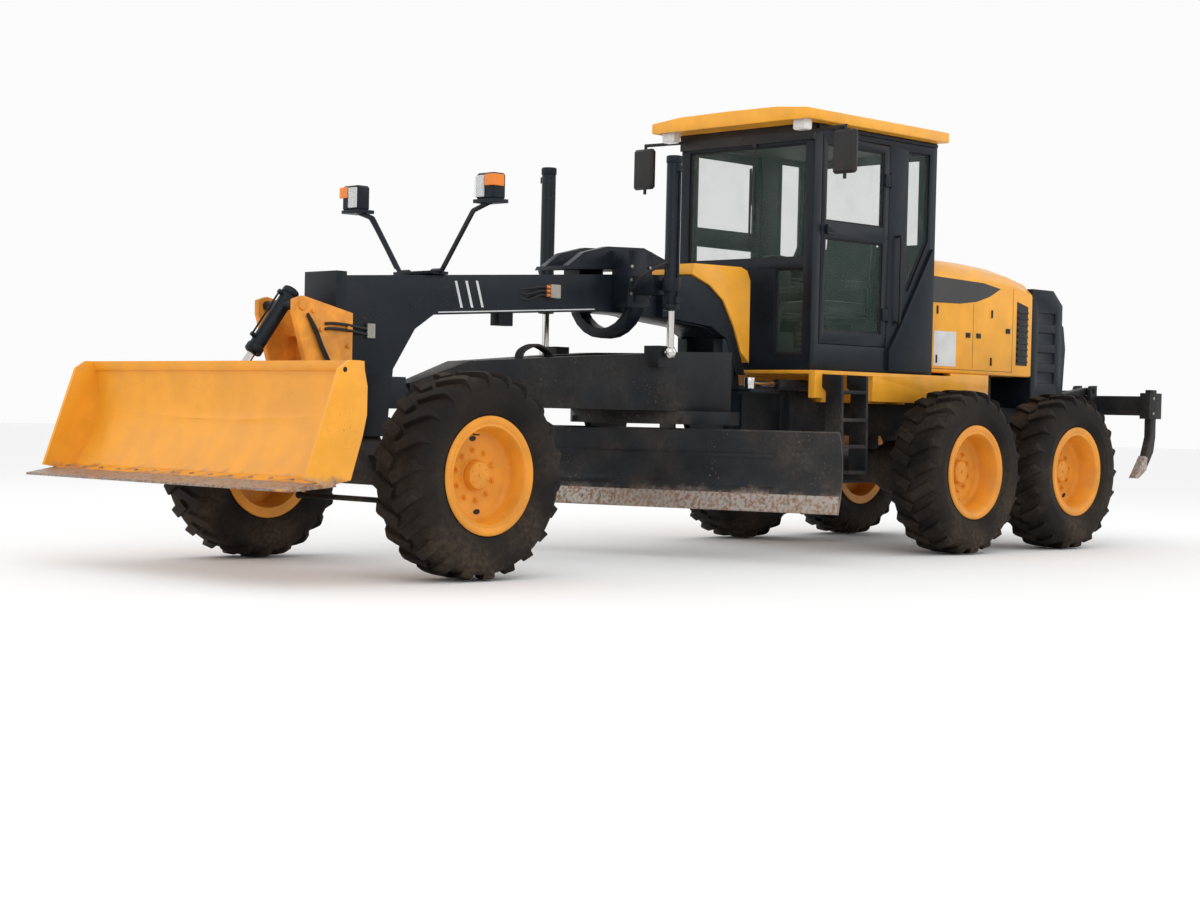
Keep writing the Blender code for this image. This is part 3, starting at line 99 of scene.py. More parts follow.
# ------------------------------------------------------------------ modelling with operators
class Bench:
    """Workbench operations that every sub-assembly uses to make its pieces."""

    @staticmethod
    def clear() -> None:
        """Leave object mode with nothing selected."""
        if bpy.context.object and bpy.context.object.mode != "OBJECT":
            bpy.ops.object.mode_set(mode="OBJECT")
        bpy.ops.object.select_all(action="DESELECT")

    @staticmethod
    def pick(piece: bpy.types.Object) -> None:
        """Select one piece and make it active."""
        Bench.clear()
        piece.select_set(True)
        bpy.context.view_layer.objects.active = piece

    @staticmethod
    def settle(name: str) -> bpy.types.Object:
        """Name the active piece and put its place into its mesh.

        Args:
            name: the piece's name.

        Returns:
            The piece, standing at the origin.
        """
        piece = bpy.context.object
        Bench.pick(piece)
        bpy.ops.object.transform_apply(location=True, rotation=True, scale=True)
        piece.name = name
        piece.data.name = name
        return piece

    @staticmethod
    def edit(piece: bpy.types.Object) -> None:
        """Enter edit mode on a piece with everything selected."""
        Bench.pick(piece)
        bpy.ops.object.mode_set(mode="EDIT")
        bpy.ops.mesh.select_all(action="SELECT")

    @staticmethod
    def done() -> None:
        """Return to object mode."""
        bpy.ops.object.mode_set(mode="OBJECT")

    @staticmethod
    def soften(piece: bpy.types.Object, width: float, rows: int = 2, sharp: float = 30.0) -> None:
        """Round a piece's sharp edges with an applied bevel.

        Args:
            piece: the mesh to change.
            width: width of the rounding.
            rows: segments across the rounding.
            sharp: least angle in degrees between faces of an edge that is rounded.
        """
        Bench.pick(piece)
        tool = piece.modifiers.new("rounding", "BEVEL")
        tool.width = width
        tool.segments = rows
        tool.limit_method = "ANGLE"
        tool.angle_limit = math.radians(sharp)
        tool.use_clamp_overlap = True
        tool.miter_outer = "MITER_ARC"
        bpy.ops.object.modifier_apply(modifier=tool.name)

    @staticmethod
    def shade(piece: bpy.types.Object, degrees: float = 35.0) -> None:
        """Shade a piece smooth except across edges sharper than an angle."""
        Bench.pick(piece)
        bpy.ops.object.shade_smooth_by_angle(angle=math.radians(degrees))

    @staticmethod
    def block(name: str, low: Vector, high: Vector, rounding: float = 0.003) -> bpy.types.Object:
        """Make a box with rounded edges between two corners.

        Args:
            name: the piece's name.
            low: one corner.
            high: the opposite corner.
            rounding: width of the rounded edges.

        Returns:
            The new piece.
        """
        Bench.clear()
        low = Vector(low)
        high = Vector(high)
        bpy.ops.mesh.primitive_cube_add(size=1, location=(low + high) / 2)
        bpy.context.object.scale = [abs(b - a) for a, b in zip(low, high)]
        piece = Bench.settle(name)
        if rounding:
            Bench.edit(piece)
            bpy.ops.mesh.bevel(offset=rounding, segments=2, affect="EDGES")
            Bench.done()
        return piece

    @staticmethod
    def drum(
        name: str, start: Vector, end: Vector, radius: float, sides: int = 24, rounding: float = 0.002
    ) -> bpy.types.Object:
        """Make a round bar with softened ends.

        Args:
            name: the piece's name.
            start: middle of one end.
            end: middle of the other end.
            radius: the bar's radius.
            sides: facets around the bar.
            rounding: width of the softened end edges.

        Returns:
            The new piece.
        """
        Bench.clear()
        start = Vector(start)
        along = Vector(end) - start
        turn = along.to_track_quat("Z", "Y").to_euler()
        bpy.ops.mesh.primitive_cylinder_add(
            vertices=sides, radius=radius, depth=along.length, location=start + along / 2, rotation=turn
        )
        piece = Bench.settle(name)
        if rounding:
            limit = 50.0 if sides > 8 else 70.0
            Bench.soften(piece, rounding, 2, limit)
        Bench.shade(piece)
        return piece

    @staticmethod
    def chain(name: str, points: Sequence[Vector]) -> bpy.types.Object:
        """Draw an open line of edges by extruding one vertex from point to point.

        Args:
            name: the piece's name.
            points: the line's points in order.

        Returns:
            The line, left in edit mode.
        """
        Bench.clear()
        bpy.ops.mesh.primitive_plane_add(size=0.01, location=points[0])
        piece = Bench.settle(name)
        Bench.edit(piece)
        bpy.ops.mesh.merge(type="CENTER")
        for before, after in zip(points, points[1:]):
            step = Vector(after) - Vector(before)
            bpy.ops.mesh.extrude_vertices_move(TRANSFORM_OT_translate={"value": step})
        return piece

    @staticmethod
    def plate(
        name: str, outline: Sequence[Vector], thickness: Vector, rounding: float = 0.0
    ) -> bpy.types.Object:
        """Fill a flat outline and extrude it into a plate.

        Args:
            name: the piece's name.
            outline: corners of one face in order.
            thickness: the way and distance it is extruded.
            rounding: width of the rounded edges, or 0 for none.

        Returns:
            The new plate.
        """
        piece = Bench.chain(name, outline)
        bpy.ops.mesh.select_all(action="SELECT")
        bpy.ops.mesh.edge_face_add()
        bpy.ops.mesh.extrude_region_move(TRANSFORM_OT_translate={"value": Vector(thickness)})
        bpy.ops.mesh.select_all(action="SELECT")
        bpy.ops.mesh.normals_make_consistent(inside=False)
        Bench.done()
        if rounding:
            Bench.soften(piece, rounding)
        return piece

    @staticmethod
    def spun(
        name: str, profile: Sequence[Point], centre: Vector, axis: Axis, steps: int, closed: bool
    ) -> bpy.types.Object:
        """Spin a section around an axis.

        Args:
            name: the piece's name.
            profile: pairs of radius and distance along the axis.
            centre: a point on the axis.
            axis: the axis to spin around.
            steps: facets around.
            closed: whether the section's last point joins its first.

        Returns:
            The new piece.
        """
        out = Axis.X.vector if axis is not Axis.X else Axis.Z.vector
        line = [Vector(centre) + out * radius + axis.vector * along for radius, along in profile]
        if closed:
            line.append(line[0])
        piece = Bench.chain(name, line)
        bpy.ops.mesh.select_all(action="SELECT")
        bpy.ops.mesh.spin(steps=steps, angle=math.tau, center=centre, axis=axis.value)
        bpy.ops.mesh.select_all(action="SELECT")
        bpy.ops.mesh.remove_doubles(threshold=0.00005)
        bpy.ops.mesh.normals_make_consistent(inside=False)
        Bench.done()
        Bench.shade(piece, 40)
        return piece

    @staticmethod
    def copy_of(piece: bpy.types.Object, name: str, place: Matrix) -> bpy.types.Object:
        """Copy a piece with its own mesh and move the copy's mesh.

        Args:
            piece: the piece to copy.
            name: the copy's name.
            place: where the copy's mesh goes.

        Returns:
            The copy.
        """
        twin = piece.copy()
        twin.data = piece.data.copy()
        twin.data.transform(place)
        if place.determinant() < 0:
            twin.data.flip_normals()
        twin.name = name
        twin.data.name = name
        bpy.context.scene.collection.objects.link(twin)
        return twin

    @staticmethod
    def joined(name: str, pieces: Iterable[bpy.types.Object]) -> bpy.types.Object:
        """Join pieces into one.

        Args:
            name: the joined piece's name.
            pieces: the pieces, which are used up.

        Returns:
            The joined piece.
        """
        pieces = list(pieces)
        Bench.pick(pieces[0])
        for piece in pieces:
            piece.select_set(True)
        if len(pieces) > 1:
            bpy.ops.object.join()
        piece = bpy.context.object
        piece.name = name
        piece.data.name = name
        return piece

    @staticmethod
    def hose(name: str, points: Sequence[Vector], radius: float) -> bpy.types.Object:
        """Make a hose that passes smoothly through its points.

        Args:
            name: the piece's name.
            points: the points it passes through.
            radius: the hose's radius.

        Returns:
            The hose as a mesh.
        """
        Bench.clear()
        points = [Vector(p) for p in points]
        ends = [points[0] * 2 - points[1]] + points + [points[-1] * 2 - points[-2]]
        smooth = []
        for a, b, c, d in zip(ends, ends[1:], ends[2:], ends[3:]):
            for step in range(6):
                t = step / 6
                near = b * 2 + (c - a) * t
                far = (a * 2 - b * 5 + c * 4 - d) * t ** 2 + (b * 3 - a - c * 3 + d) * t ** 3
                smooth.append((near + far) / 2)
        smooth.append(points[-1])
        curve = bpy.data.curves.new(name, "CURVE")
        curve.dimensions = "3D"
        curve.bevel_depth = radius
        curve.bevel_resolution = 3
        curve.use_fill_caps = True
        spline = curve.splines.new("POLY")
        spline.points.add(len(smooth) - 1)
        for place, point in zip(smooth, spline.points):
            point.co = (*place, 1)
        piece = bpy.data.objects.new(name, curve)
        bpy.context.scene.collection.objects.link(piece)
        Bench.pick(piece)
        bpy.ops.object.convert(target="MESH")
        piece = bpy.context.object
        bpy.ops.object.shade_smooth()
        return piece


# ------------------------------------------------------------------ shader groups
class Graph:
    """A small helper that lays nodes in a shader tree."""

    def __init__(self, tree: bpy.types.NodeTree) -> None:
        """Keep the tree that nodes are added to."""
        self.tree = tree

    def add(self, kind: str, settings: dict | None = None, **values: object) -> bpy.types.Node:
        """Add a node and fill its sockets.

        Args:
            kind: the node's type name without its ShaderNode prefix.
            settings: attributes of the node itself.
            values: socket values or links, named with underscores for blanks.

        Returns:
            The new node.
        """
        node = self.tree.nodes.new("ShaderNode" + kind)
        for key, value in (settings or {}).items():
            setattr(node, key, value)
        for key, value in values.items():
            self.feed(node.inputs[key.replace("_", " ")], value)
        return node

    def feed(self, socket: bpy.types.NodeSocket, value: object) -> None:
        """Link another socket to a socket, or set its plain value."""
        if isinstance(value, bpy.types.NodeSocket):
            self.tree.links.new(value, socket)
        else:
            socket.default_value = value

    def math(self, operation: str, *terms: object, clamp: bool = False) -> bpy.types.NodeSocket:
        """Add a Math node.

        Args:
            operation: the operation's name.
            terms: numbers or sockets.
            clamp: whether the result stays between 0 and 1.

        Returns:
            The result's socket.
        """
        node = self.tree.nodes.new("ShaderNodeMath")
        node.operation = operation
        node.use_clamp = clamp
        for socket, term in zip(node.inputs, terms):
            self.feed(socket, term)
        return node.outputs[0]

    def ramp(self, value: bpy.types.NodeSocket, low: float, high: float) -> bpy.types.NodeSocket:
        """Stretch a value so that low becomes 0 and high becomes 1, smoothly."""
        node = self.add("MapRange", {"interpolation_type": "SMOOTHSTEP"}, Value=value)
        node.inputs["From Min"].default_value = low
        node.inputs["From Max"].default_value = high
        return node.outputs["Result"]

    def blend(self, share: object, first: object, second: object) -> bpy.types.NodeSocket:
        """Mix two colours by a share and return the colour's socket."""
        node = self.tree.nodes.new("ShaderNodeMix")
        node.data_type = "RGBA"
        self.feed(node.inputs[0], share)
        self.feed(node.inputs[6], first)
        self.feed(node.inputs[7], second)
        return node.outputs[2]

    def noise(self, place: bpy.types.NodeSocket, scale: object,
              detail: float = 4.0) -> bpy.types.NodeSocket:
        """Add a noise texture and return its value's socket."""
        node = self.add("TexNoise", None, Vector=place, Scale=scale, Detail=detail)
        return node.outputs["Fac"]


class Effects:
    """Shared effects, each one a node group that is built once."""

    _built: dict[str, bpy.types.NodeTree] = {}

    @classmethod
    def _tree(cls, name: str, inputs: dict[str, tuple], outputs: dict[str, str]) -> bpy.types.NodeTree:
        """Make an empty group with its sockets.

        Args:
            name: the group's name.
            inputs: socket names with their kind and default.
            outputs: socket names with their kind.

        Returns:
            The group's tree.
        """
        tree = bpy.data.node_groups.new(name, "ShaderNodeTree")
        for key, (kind, default) in inputs.items():
            made = tree.interface.new_socket(name=key, in_out="INPUT", socket_type="NodeSocket" + kind)
            made.default_value = default
        for key, kind in outputs.items():
            tree.interface.new_socket(name=key, in_out="OUTPUT", socket_type="NodeSocket" + kind)
        cls._built[name] = tree
        return tree

    @classmethod
    def road_dust(cls) -> bpy.types.NodeTree:
        """Pale dust in patches, thicker towards the ground and on faces that look up."""
        if "road_dust" in cls._built:
            return cls._built["road_dust"]
        white = (1.0, 1.0, 1.0, 1.0)
        tree = cls._tree(
            "road_dust",
            {
                "Color": ("Color", white),
                "Dust Color": ("Color", white),
                "Amount": ("Float", 0.4),
                "Reach": ("Float", 1.0),
            },
            {"Color": "Color", "Mask": "Float"},
        )
        graph = Graph(tree)
        given = tree.nodes.new("NodeGroupInput").outputs
        result = tree.nodes.new("NodeGroupOutput").inputs
        place = graph.add("TexCoord").outputs["Object"]
        height = graph.add("SeparateXYZ", None, Vector=place).outputs["Z"]
        facing = graph.add("SeparateXYZ", None,
                           Vector=graph.add("NewGeometry").outputs["Normal"]).outputs["Z"]
        low = graph.math("SUBTRACT", 1.0, graph.math("DIVIDE", height, given["Reach"]), clamp=True)
        patches = graph.ramp(graph.noise(place, 2.3, 8.0), 0.36, 0.72)
        fine = graph.ramp(graph.noise(place, 34.0, 3.0), 0.30, 0.75)
        settled = graph.math("MULTIPLY", graph.ramp(facing, 0.45, 1.0), 0.55)
        spread = graph.math("ADD", graph.math("MULTIPLY", low, 1.1), settled)
        spread = graph.math("ADD", spread, 0.16)
        cover = graph.math("MULTIPLY", graph.math("MULTIPLY", spread, patches), given["Amount"], clamp=True)
        mask = graph.math("MULTIPLY", cover, graph.math("ADD", graph.math("MULTIPLY", fine, 0.6), 0.4),
                          clamp=True)
        graph.feed(result["Color"], graph.blend(mask, given["Color"], given["Dust Color"]))
        graph.feed(result["Mask"], mask)
        return tree

    @classmethod
    def spray_grain(cls) -> bpy.types.NodeTree:
        """Fine unevenness of a sprayed or cast surface, with broad waviness under it."""
        if "spray_grain" in cls._built:
            return cls._built["spray_grain"]
        tree = cls._tree(
            "spray_grain",
            {"Fine Scale": ("Float", 160.0), "Broad Scale": ("Float", 5.0), "Roughness": ("Float", 0.4)},
            {"Height": "Float", "Roughness": "Float", "Tone": "Float"},
        )
        graph = Graph(tree)
        given = tree.nodes.new("NodeGroupInput").outputs
        result = tree.nodes.new("NodeGroupOutput").inputs
        place = graph.add("TexCoord").outputs["Object"]
        fine = graph.noise(place, given["Fine Scale"], 2.0)
        broad = graph.noise(place, given["Broad Scale"], 5.0)
        height = graph.math("ADD", graph.math("MULTIPLY", fine, 0.25), graph.math("MULTIPLY", broad, 0.75))
        rough = graph.math("ADD", given["Roughness"],
                           graph.math("MULTIPLY", graph.math("SUBTRACT", broad, 0.5), 0.35))
        graph.feed(result["Height"], height)
        graph.feed(result["Roughness"], graph.math("MAXIMUM", rough, 0.05, clamp=True))
        graph.feed(result["Tone"], broad)
        return tree

    @classmethod
    def stone_chips(cls) -> bpy.types.NodeTree:
        """Small chips and scratches, gathered in worn patches."""
        if "stone_chips" in cls._built:
            return cls._built["stone_chips"]
        tree = cls._tree(
            "stone_chips",
            {"Scale": ("Float", 60.0), "Amount": ("Float", 0.3)},
            {"Mask": "Float"},
        )
        graph = Graph(tree)
        given = tree.nodes.new("NodeGroupInput").outputs
        result = tree.nodes.new("NodeGroupOutput").inputs
        place = graph.add("TexCoord").outputs["Object"]
        specks = graph.ramp(graph.noise(place, given["Scale"], 6.0), 0.63, 0.68)
        zones = graph.ramp(graph.noise(place, 3.1, 2.0), 0.52, 0.66)
        streaks = graph.add("Mapping", None, Vector=place, Scale=(3.0, 3.0, 42.0)).outputs["Vector"]
        lines = graph.ramp(graph.noise(streaks, 6.0, 2.0), 0.71, 0.74)
        marks = graph.math("MAXIMUM", specks, graph.math("MULTIPLY", lines, 0.5))
        mask = graph.math("MULTIPLY", graph.math("MULTIPLY", marks, zones), given["Amount"], clamp=True)
        graph.feed(result["Mask"], mask)
        return tree


# ------------------------------------------------------------------ finishes
DUST = (0.42, 0.31, 0.20, 1.0)


@dataclass(frozen=True)
class Finish:
    """A weathered opaque finish: paint, rubber, iron, plastic or cloth."""

    name: str
    colour: tuple[float, float, float]
    roughness: float = 0.4
    metallic: float = 0.0
    coat: float = 0.0
    grain: float = 160.0
    bump: float = 0.15
    variation: float = 0.12
    dust: float = 0.4
    reach: float = 1.1
    dust_colour: tuple[float, float, float, float] = DUST
    chips: float = 0.3
    under: tuple[float, float, float] = (0.10, 0.07, 0.05)
    sheen: float = 0.0
    specular: float = 0.30

    def make(self) -> bpy.types.Material:
        """Build the material, or return it if it has been built."""
        known = bpy.data.materials.get(self.name)
        if known:
            return known
        material = bpy.data.materials.new(self.name)
        material.use_nodes = True
        material.diffuse_color = (*self.colour, 1)
        graph = Graph(material.node_tree)
        shader = material.node_tree.nodes["Principled BSDF"]
        grain = self._group(graph, Effects.spray_grain())
        grain.inputs["Fine Scale"].default_value = self.grain
        grain.inputs["Roughness"].default_value = self.roughness
        dark = tuple(c * (1 - self.variation) for c in self.colour)
        light = tuple(min(1.0, c * (1 + self.variation)) for c in self.colour)
        colour = graph.blend(graph.ramp(grain.outputs["Tone"], 0.3, 0.7), (*dark, 1), (*light, 1))
        rough = grain.outputs["Roughness"]
        if self.chips:
            chips = self._group(graph, Effects.stone_chips())
            chips.inputs["Amount"].default_value = self.chips
            colour = graph.blend(chips.outputs["Mask"], colour, (*self.under, 1))
        colour, worn = self._wear(graph, colour)
        dust = self._group(graph, Effects.road_dust())
        graph.feed(dust.inputs["Color"], colour)
        dust.inputs["Dust Color"].default_value = self.dust_colour
        dust.inputs["Amount"].default_value = self.dust
        dust.inputs["Reach"].default_value = self.reach
        graph.feed(shader.inputs["Base Color"], dust.outputs["Color"])
        spread = graph.math("MULTIPLY", dust.outputs["Mask"], 0.5)
        graph.feed(shader.inputs["Roughness"], graph.math("ADD", rough, spread, clamp=True))
        if worn is None:
            shader.inputs["Metallic"].default_value = self.metallic
        else:
            graph.feed(shader.inputs["Metallic"], worn)
        shader.inputs["Specular IOR Level"].default_value = self.specular
        shader.inputs["Coat Weight"].default_value = self.coat
        shader.inputs["Coat Roughness"].default_value = 0.12
        shader.inputs["Sheen Weight"].default_value = self.sheen
        relief = graph.add("Bump", None, Strength=self.bump, Distance=0.004, Height=grain.outputs["Height"])
        graph.feed(shader.inputs["Normal"], relief.outputs["Normal"])
        return material

    def _wear(self, graph: Graph, colour: bpy.types.NodeSocket) -> tuple[bpy.types.NodeSocket, object]:
        """Add wear of this finish's own; a plain finish has none."""
        return colour, None

    @staticmethod
    def _group(graph: Graph, tree: bpy.types.NodeTree) -> bpy.types.Node:
        """Place a shared effect in a material."""
        node = graph.tree.nodes.new("ShaderNodeGroup")
        node.node_tree = tree
        return node


@dataclass(frozen=True)
class WornEdge(Finish):
    """Paint that is worn to bare and rusty steel below a height."""

    worn_low: float = 0.50
    worn_high: float = 0.62
    bare: tuple[float, float, float] = (0.30, 0.27, 0.24)
    rust: tuple[float, float, float] = (0.20, 0.085, 0.035)

    def _wear(self, graph: Graph, colour: bpy.types.NodeSocket) -> tuple[bpy.types.NodeSocket, object]:
        """Mix in bare steel and rust with a ragged upper border."""
        place = graph.add("TexCoord").outputs["Object"]
        height = graph.add("SeparateXYZ", None, Vector=place).outputs["Z"]
        ragged = graph.math("MULTIPLY", graph.math("SUBTRACT", graph.noise(place, 7.0, 8.0), 0.5), 0.22)
        bare = graph.ramp(graph.math("ADD", height, ragged), self.worn_high, self.worn_low)
        rusty = graph.ramp(graph.noise(place, 38.0, 8.0), 0.40, 0.66)
        metal = graph.blend(rusty, (*self.bare, 1), (*self.rust, 1))
        shine = graph.math("MULTIPLY", bare,
                           graph.math("SUBTRACT", 0.85, graph.math("MULTIPLY", rusty, 0.7)))
        return graph.blend(bare, colour, metal), shine


@dataclass(frozen=True)
class Glass:
    """Clear or tinted window or lens glass."""

    name: str
    tint: tuple[float, float, float] = (0.80, 0.90, 0.84)
    roughness: float = 0.02
    ribs: float = 0.0
    cover: float = 0.2
    haze: float = 0.10

    def make(self) -> bpy.types.Material:
        """Build the material, or return it if it has been built."""
        known = bpy.data.materials.get(self.name)
        if known:
            return known
        material = bpy.data.materials.new(self.name)
        material.use_nodes = True
        graph = Graph(material.node_tree)
        shader = material.node_tree.nodes["Principled BSDF"]
        place = graph.add("TexCoord").outputs["Object"]
        film = graph.ramp(graph.noise(place, 3.0, 6.0), 0.45, 0.85)
        colour = graph.blend(graph.math("MULTIPLY", film, 0.3), (*self.tint, 1), (0.45, 0.42, 0.36, 1))
        graph.feed(shader.inputs["Base Color"], colour)
        rough = graph.math("ADD", graph.math("MULTIPLY", film, 0.05), self.roughness)
        graph.feed(shader.inputs["Roughness"], rough)
        shader.inputs["IOR"].default_value = 1.45
        clear = graph.math("ADD", graph.math("MULTIPLY", film, self.haze), self.cover, clamp=True)
        graph.feed(shader.inputs["Alpha"], clear)
        if self.ribs:
            wave = graph.add("TexWave", {"bands_direction": "Y"}, Vector=place, Scale=self.ribs)
            relief = graph.add("Bump", None, Strength=0.4, Distance=0.003, Height=wave.outputs["Fac"])
            graph.feed(shader.inputs["Normal"], relief.outputs["Normal"])
        return material


YELLOW = Finish("orange_yellow_enamel", (0.86, 0.385, 0.030), 0.34, coat=0.10, variation=0.07, dust=0.18,
                under=(0.30, 0.12, 0.03), chips=0.25)
YELLOW_WORN = WornEdge("dozer_enamel", (0.83, 0.355, 0.026), 0.36, coat=0.07, variation=0.06, dust=0.12,
                       reach=1.4,
                       chips=0.5, under=(0.32, 0.12, 0.03), worn_low=0.60, worn_high=0.68)
YELLOW_DUSTY = Finish("bracket_enamel", (0.80, 0.30, 0.03), 0.5, coat=0.1, variation=0.3, dust=0.75,
                      reach=2.4,
                      dust_colour=(0.42, 0.13, 0.03, 1), chips=0.8, under=(0.16, 0.05, 0.02))
RIM_YELLOW = Finish("rim_enamel", (0.74, 0.285, 0.022), 0.40, coat=0.05, variation=0.10, dust=0.25,
                    chips=0.35,
                    under=(0.28, 0.10, 0.03), dust_colour=(0.50, 0.24, 0.07, 1))
SLATE = Finish("slate_enamel", (0.0075, 0.0115, 0.0165), 0.40, coat=0.02, variation=0.20, dust=0.10,
               chips=0.25,
               specular=0.17,
               under=(0.12, 0.10, 0.09), dust_colour=(0.22, 0.18, 0.14, 1))
SLATE_LOW = Finish("chassis_enamel", (0.009, 0.011, 0.014), 0.5, variation=0.3, dust=0.40, reach=1.5,
                   chips=0.5,
                   specular=0.18,
                   under=(0.16, 0.10, 0.06), dust_colour=(0.24, 0.18, 0.12, 1))
SLATE_WORN = WornEdge("moldboard_enamel", (0.010, 0.013, 0.0165), 0.45, variation=0.3, dust=0.45, reach=1.2,
                      chips=0.7,
                      under=(0.25, 0.16, 0.10), dust_colour=(0.26, 0.18, 0.12,
                                                             1), worn_low=0.47, worn_high=0.56)
RUBBER = Finish("tyre_rubber", (0.0095, 0.0080, 0.0072), 0.72, grain=90.0, bump=0.35, variation=0.25,
                dust=0.45,
                specular=0.16,
                reach=1.6, chips=0.0, dust_colour=(0.13, 0.095, 0.065, 1))
HOSE_RUBBER = Finish("hose_rubber", (0.016, 0.016, 0.017), 0.55, grain=220.0, bump=0.3, chips=0.0, dust=0.5,
                     dust_colour=(0.20, 0.15, 0.10, 1))
SEAL_RUBBER = Finish("seal_rubber", (0.010, 0.010, 0.011), 0.65, chips=0.0, dust=0.2)
CHROME = Finish("plated_rod", (0.62, 0.61, 0.59), 0.14, metallic=1.0, variation=0.06, bump=0.04, dust=0.35,
                chips=0.2,
                under=(0.30, 0.22, 0.15))
CUT_STEEL = WornEdge("cutting_steel", (0.36, 0.33, 0.30), 0.42, metallic=0.8, variation=0.35, bump=0.35,
                     dust=0.35,
                     chips=0.6, under=(0.18, 0.09, 0.05), worn_low=0.55, worn_high=1.9,
                     bare=(0.42, 0.39, 0.36), rust=(0.24, 0.125, 0.07))
BOLT_STEEL = Finish("zinc_fasteners", (0.34, 0.32, 0.28), 0.42, metallic=0.85, variation=0.2, dust=0.4,
                    chips=0.4)
IRON = Finish("engine_iron", (0.035, 0.035, 0.037), 0.6, metallic=0.3, variation=0.3, dust=0.6, chips=0.4)
TRIM_PLASTIC = Finish("cab_plastic", (0.028, 0.033, 0.032), 0.6, grain=420.0, bump=0.35, dust=0.2,
                      chips=0.0)
BLACK_PLASTIC = Finish("black_plastic", (0.012, 0.012, 0.013), 0.45, grain=300.0, bump=0.2, dust=0.25,
                       chips=0.0)
PALE_DECAL = Finish("pale_decal", (0.62, 0.64, 0.64), 0.35, variation=0.08, dust=0.3, chips=0.4,
                    under=(0.1, 0.1, 0.1))
DARK_DECAL = Finish("dark_decal", (0.014, 0.014, 0.015), 0.3, coat=0.3, variation=0.1, dust=0.25,
                    chips=0.15)
WHITE_LAMP = Finish("lamp_white", (0.80, 0.80, 0.78), 0.22, coat=0.5, variation=0.04, dust=0.2, chips=0.0)
ORANGE_SLEEVE = Finish("orange_sleeve", (0.70, 0.20, 0.03), 0.5, dust=0.5, chips=0.2)
REFLECTOR = Finish("lamp_reflector", (0.80, 0.80, 0.80), 0.10, metallic=1.0, variation=0.05, dust=0.1,
                   chips=0.0)
MIRROR = Finish("mirror_silver", (0.85, 0.87, 0.88), 0.04, metallic=1.0, variation=0.02, bump=0.01,
                dust=0.15, chips=0.0)
SEAT_CLOTH = Finish("seat_cloth", (0.030, 0.038, 0.036), 0.92, grain=700.0, bump=0.8, variation=0.2,
                    dust=0.15,
                    chips=0.0, sheen=0.3)
CAB_GLASS = Glass("cab_glass", (0.10, 0.17, 0.145), cover=0.10, haze=0.05)
LENS_GLASS = Glass("lens_glass", (0.75, 0.78, 0.78), 0.06, ribs=22.0, cover=0.45)
REAR_RED = Glass("red_lens", (0.55, 0.02, 0.015), 0.10, ribs=24.0, cover=0.9)
AMBER_GLASS = Glass("amber_glass", (0.90, 0.24, 0.02), 0.10, ribs=26.0, cover=0.88)


def dress(
    piece: bpy.types.Object,
    finish: Finish | Glass,
    body: str,
    slot: Slot,
    *stands_for: str,
) -> bpy.types.Object:
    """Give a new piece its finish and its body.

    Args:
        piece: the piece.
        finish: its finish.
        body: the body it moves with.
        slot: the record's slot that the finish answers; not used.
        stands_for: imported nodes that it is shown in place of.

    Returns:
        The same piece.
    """
    piece.data.materials.clear()
    piece.data.materials.append(finish.make())
    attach(piece, body)
    if stands_for:
        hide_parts(*stands_for)
    LOG.info("%s rides on %s in %s", piece.name, body, finish.name)
    return piece


def refine(node: str, body: str, finish: Finish, slot: Slot, width: float = 0.004) -> bpy.types.Object:
    """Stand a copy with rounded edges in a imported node's place.

    Args:
        node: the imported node.
        body: the body it belongs to.
        finish: the copy's finish.
        slot: the record's slot.
        width: width of the rounded edges.

    Returns:
        The copy.
    """
    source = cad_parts[node]
    piece = source.copy()
    piece.data = source.data.copy()
    piece.name = node + "_finished"
    piece.data.name = piece.name
    piece.parent = None
    piece.matrix_world = Matrix.Identity(4)
    for key in list(piece.keys()):
        del piece[key]
    bpy.context.scene.collection.objects.link(piece)
    Bench.edit(piece)
    bpy.ops.mesh.remove_doubles(threshold=0.00008)
    bpy.ops.mesh.tris_convert_to_quads(face_threshold=math.radians(0.6), shape_threshold=math.pi)
    Bench.done()
    if width:
        Bench.soften(piece, width, 2, 32.0)
    Bench.shade(piece, 38)
    return dress(piece, finish, body, slot, node)


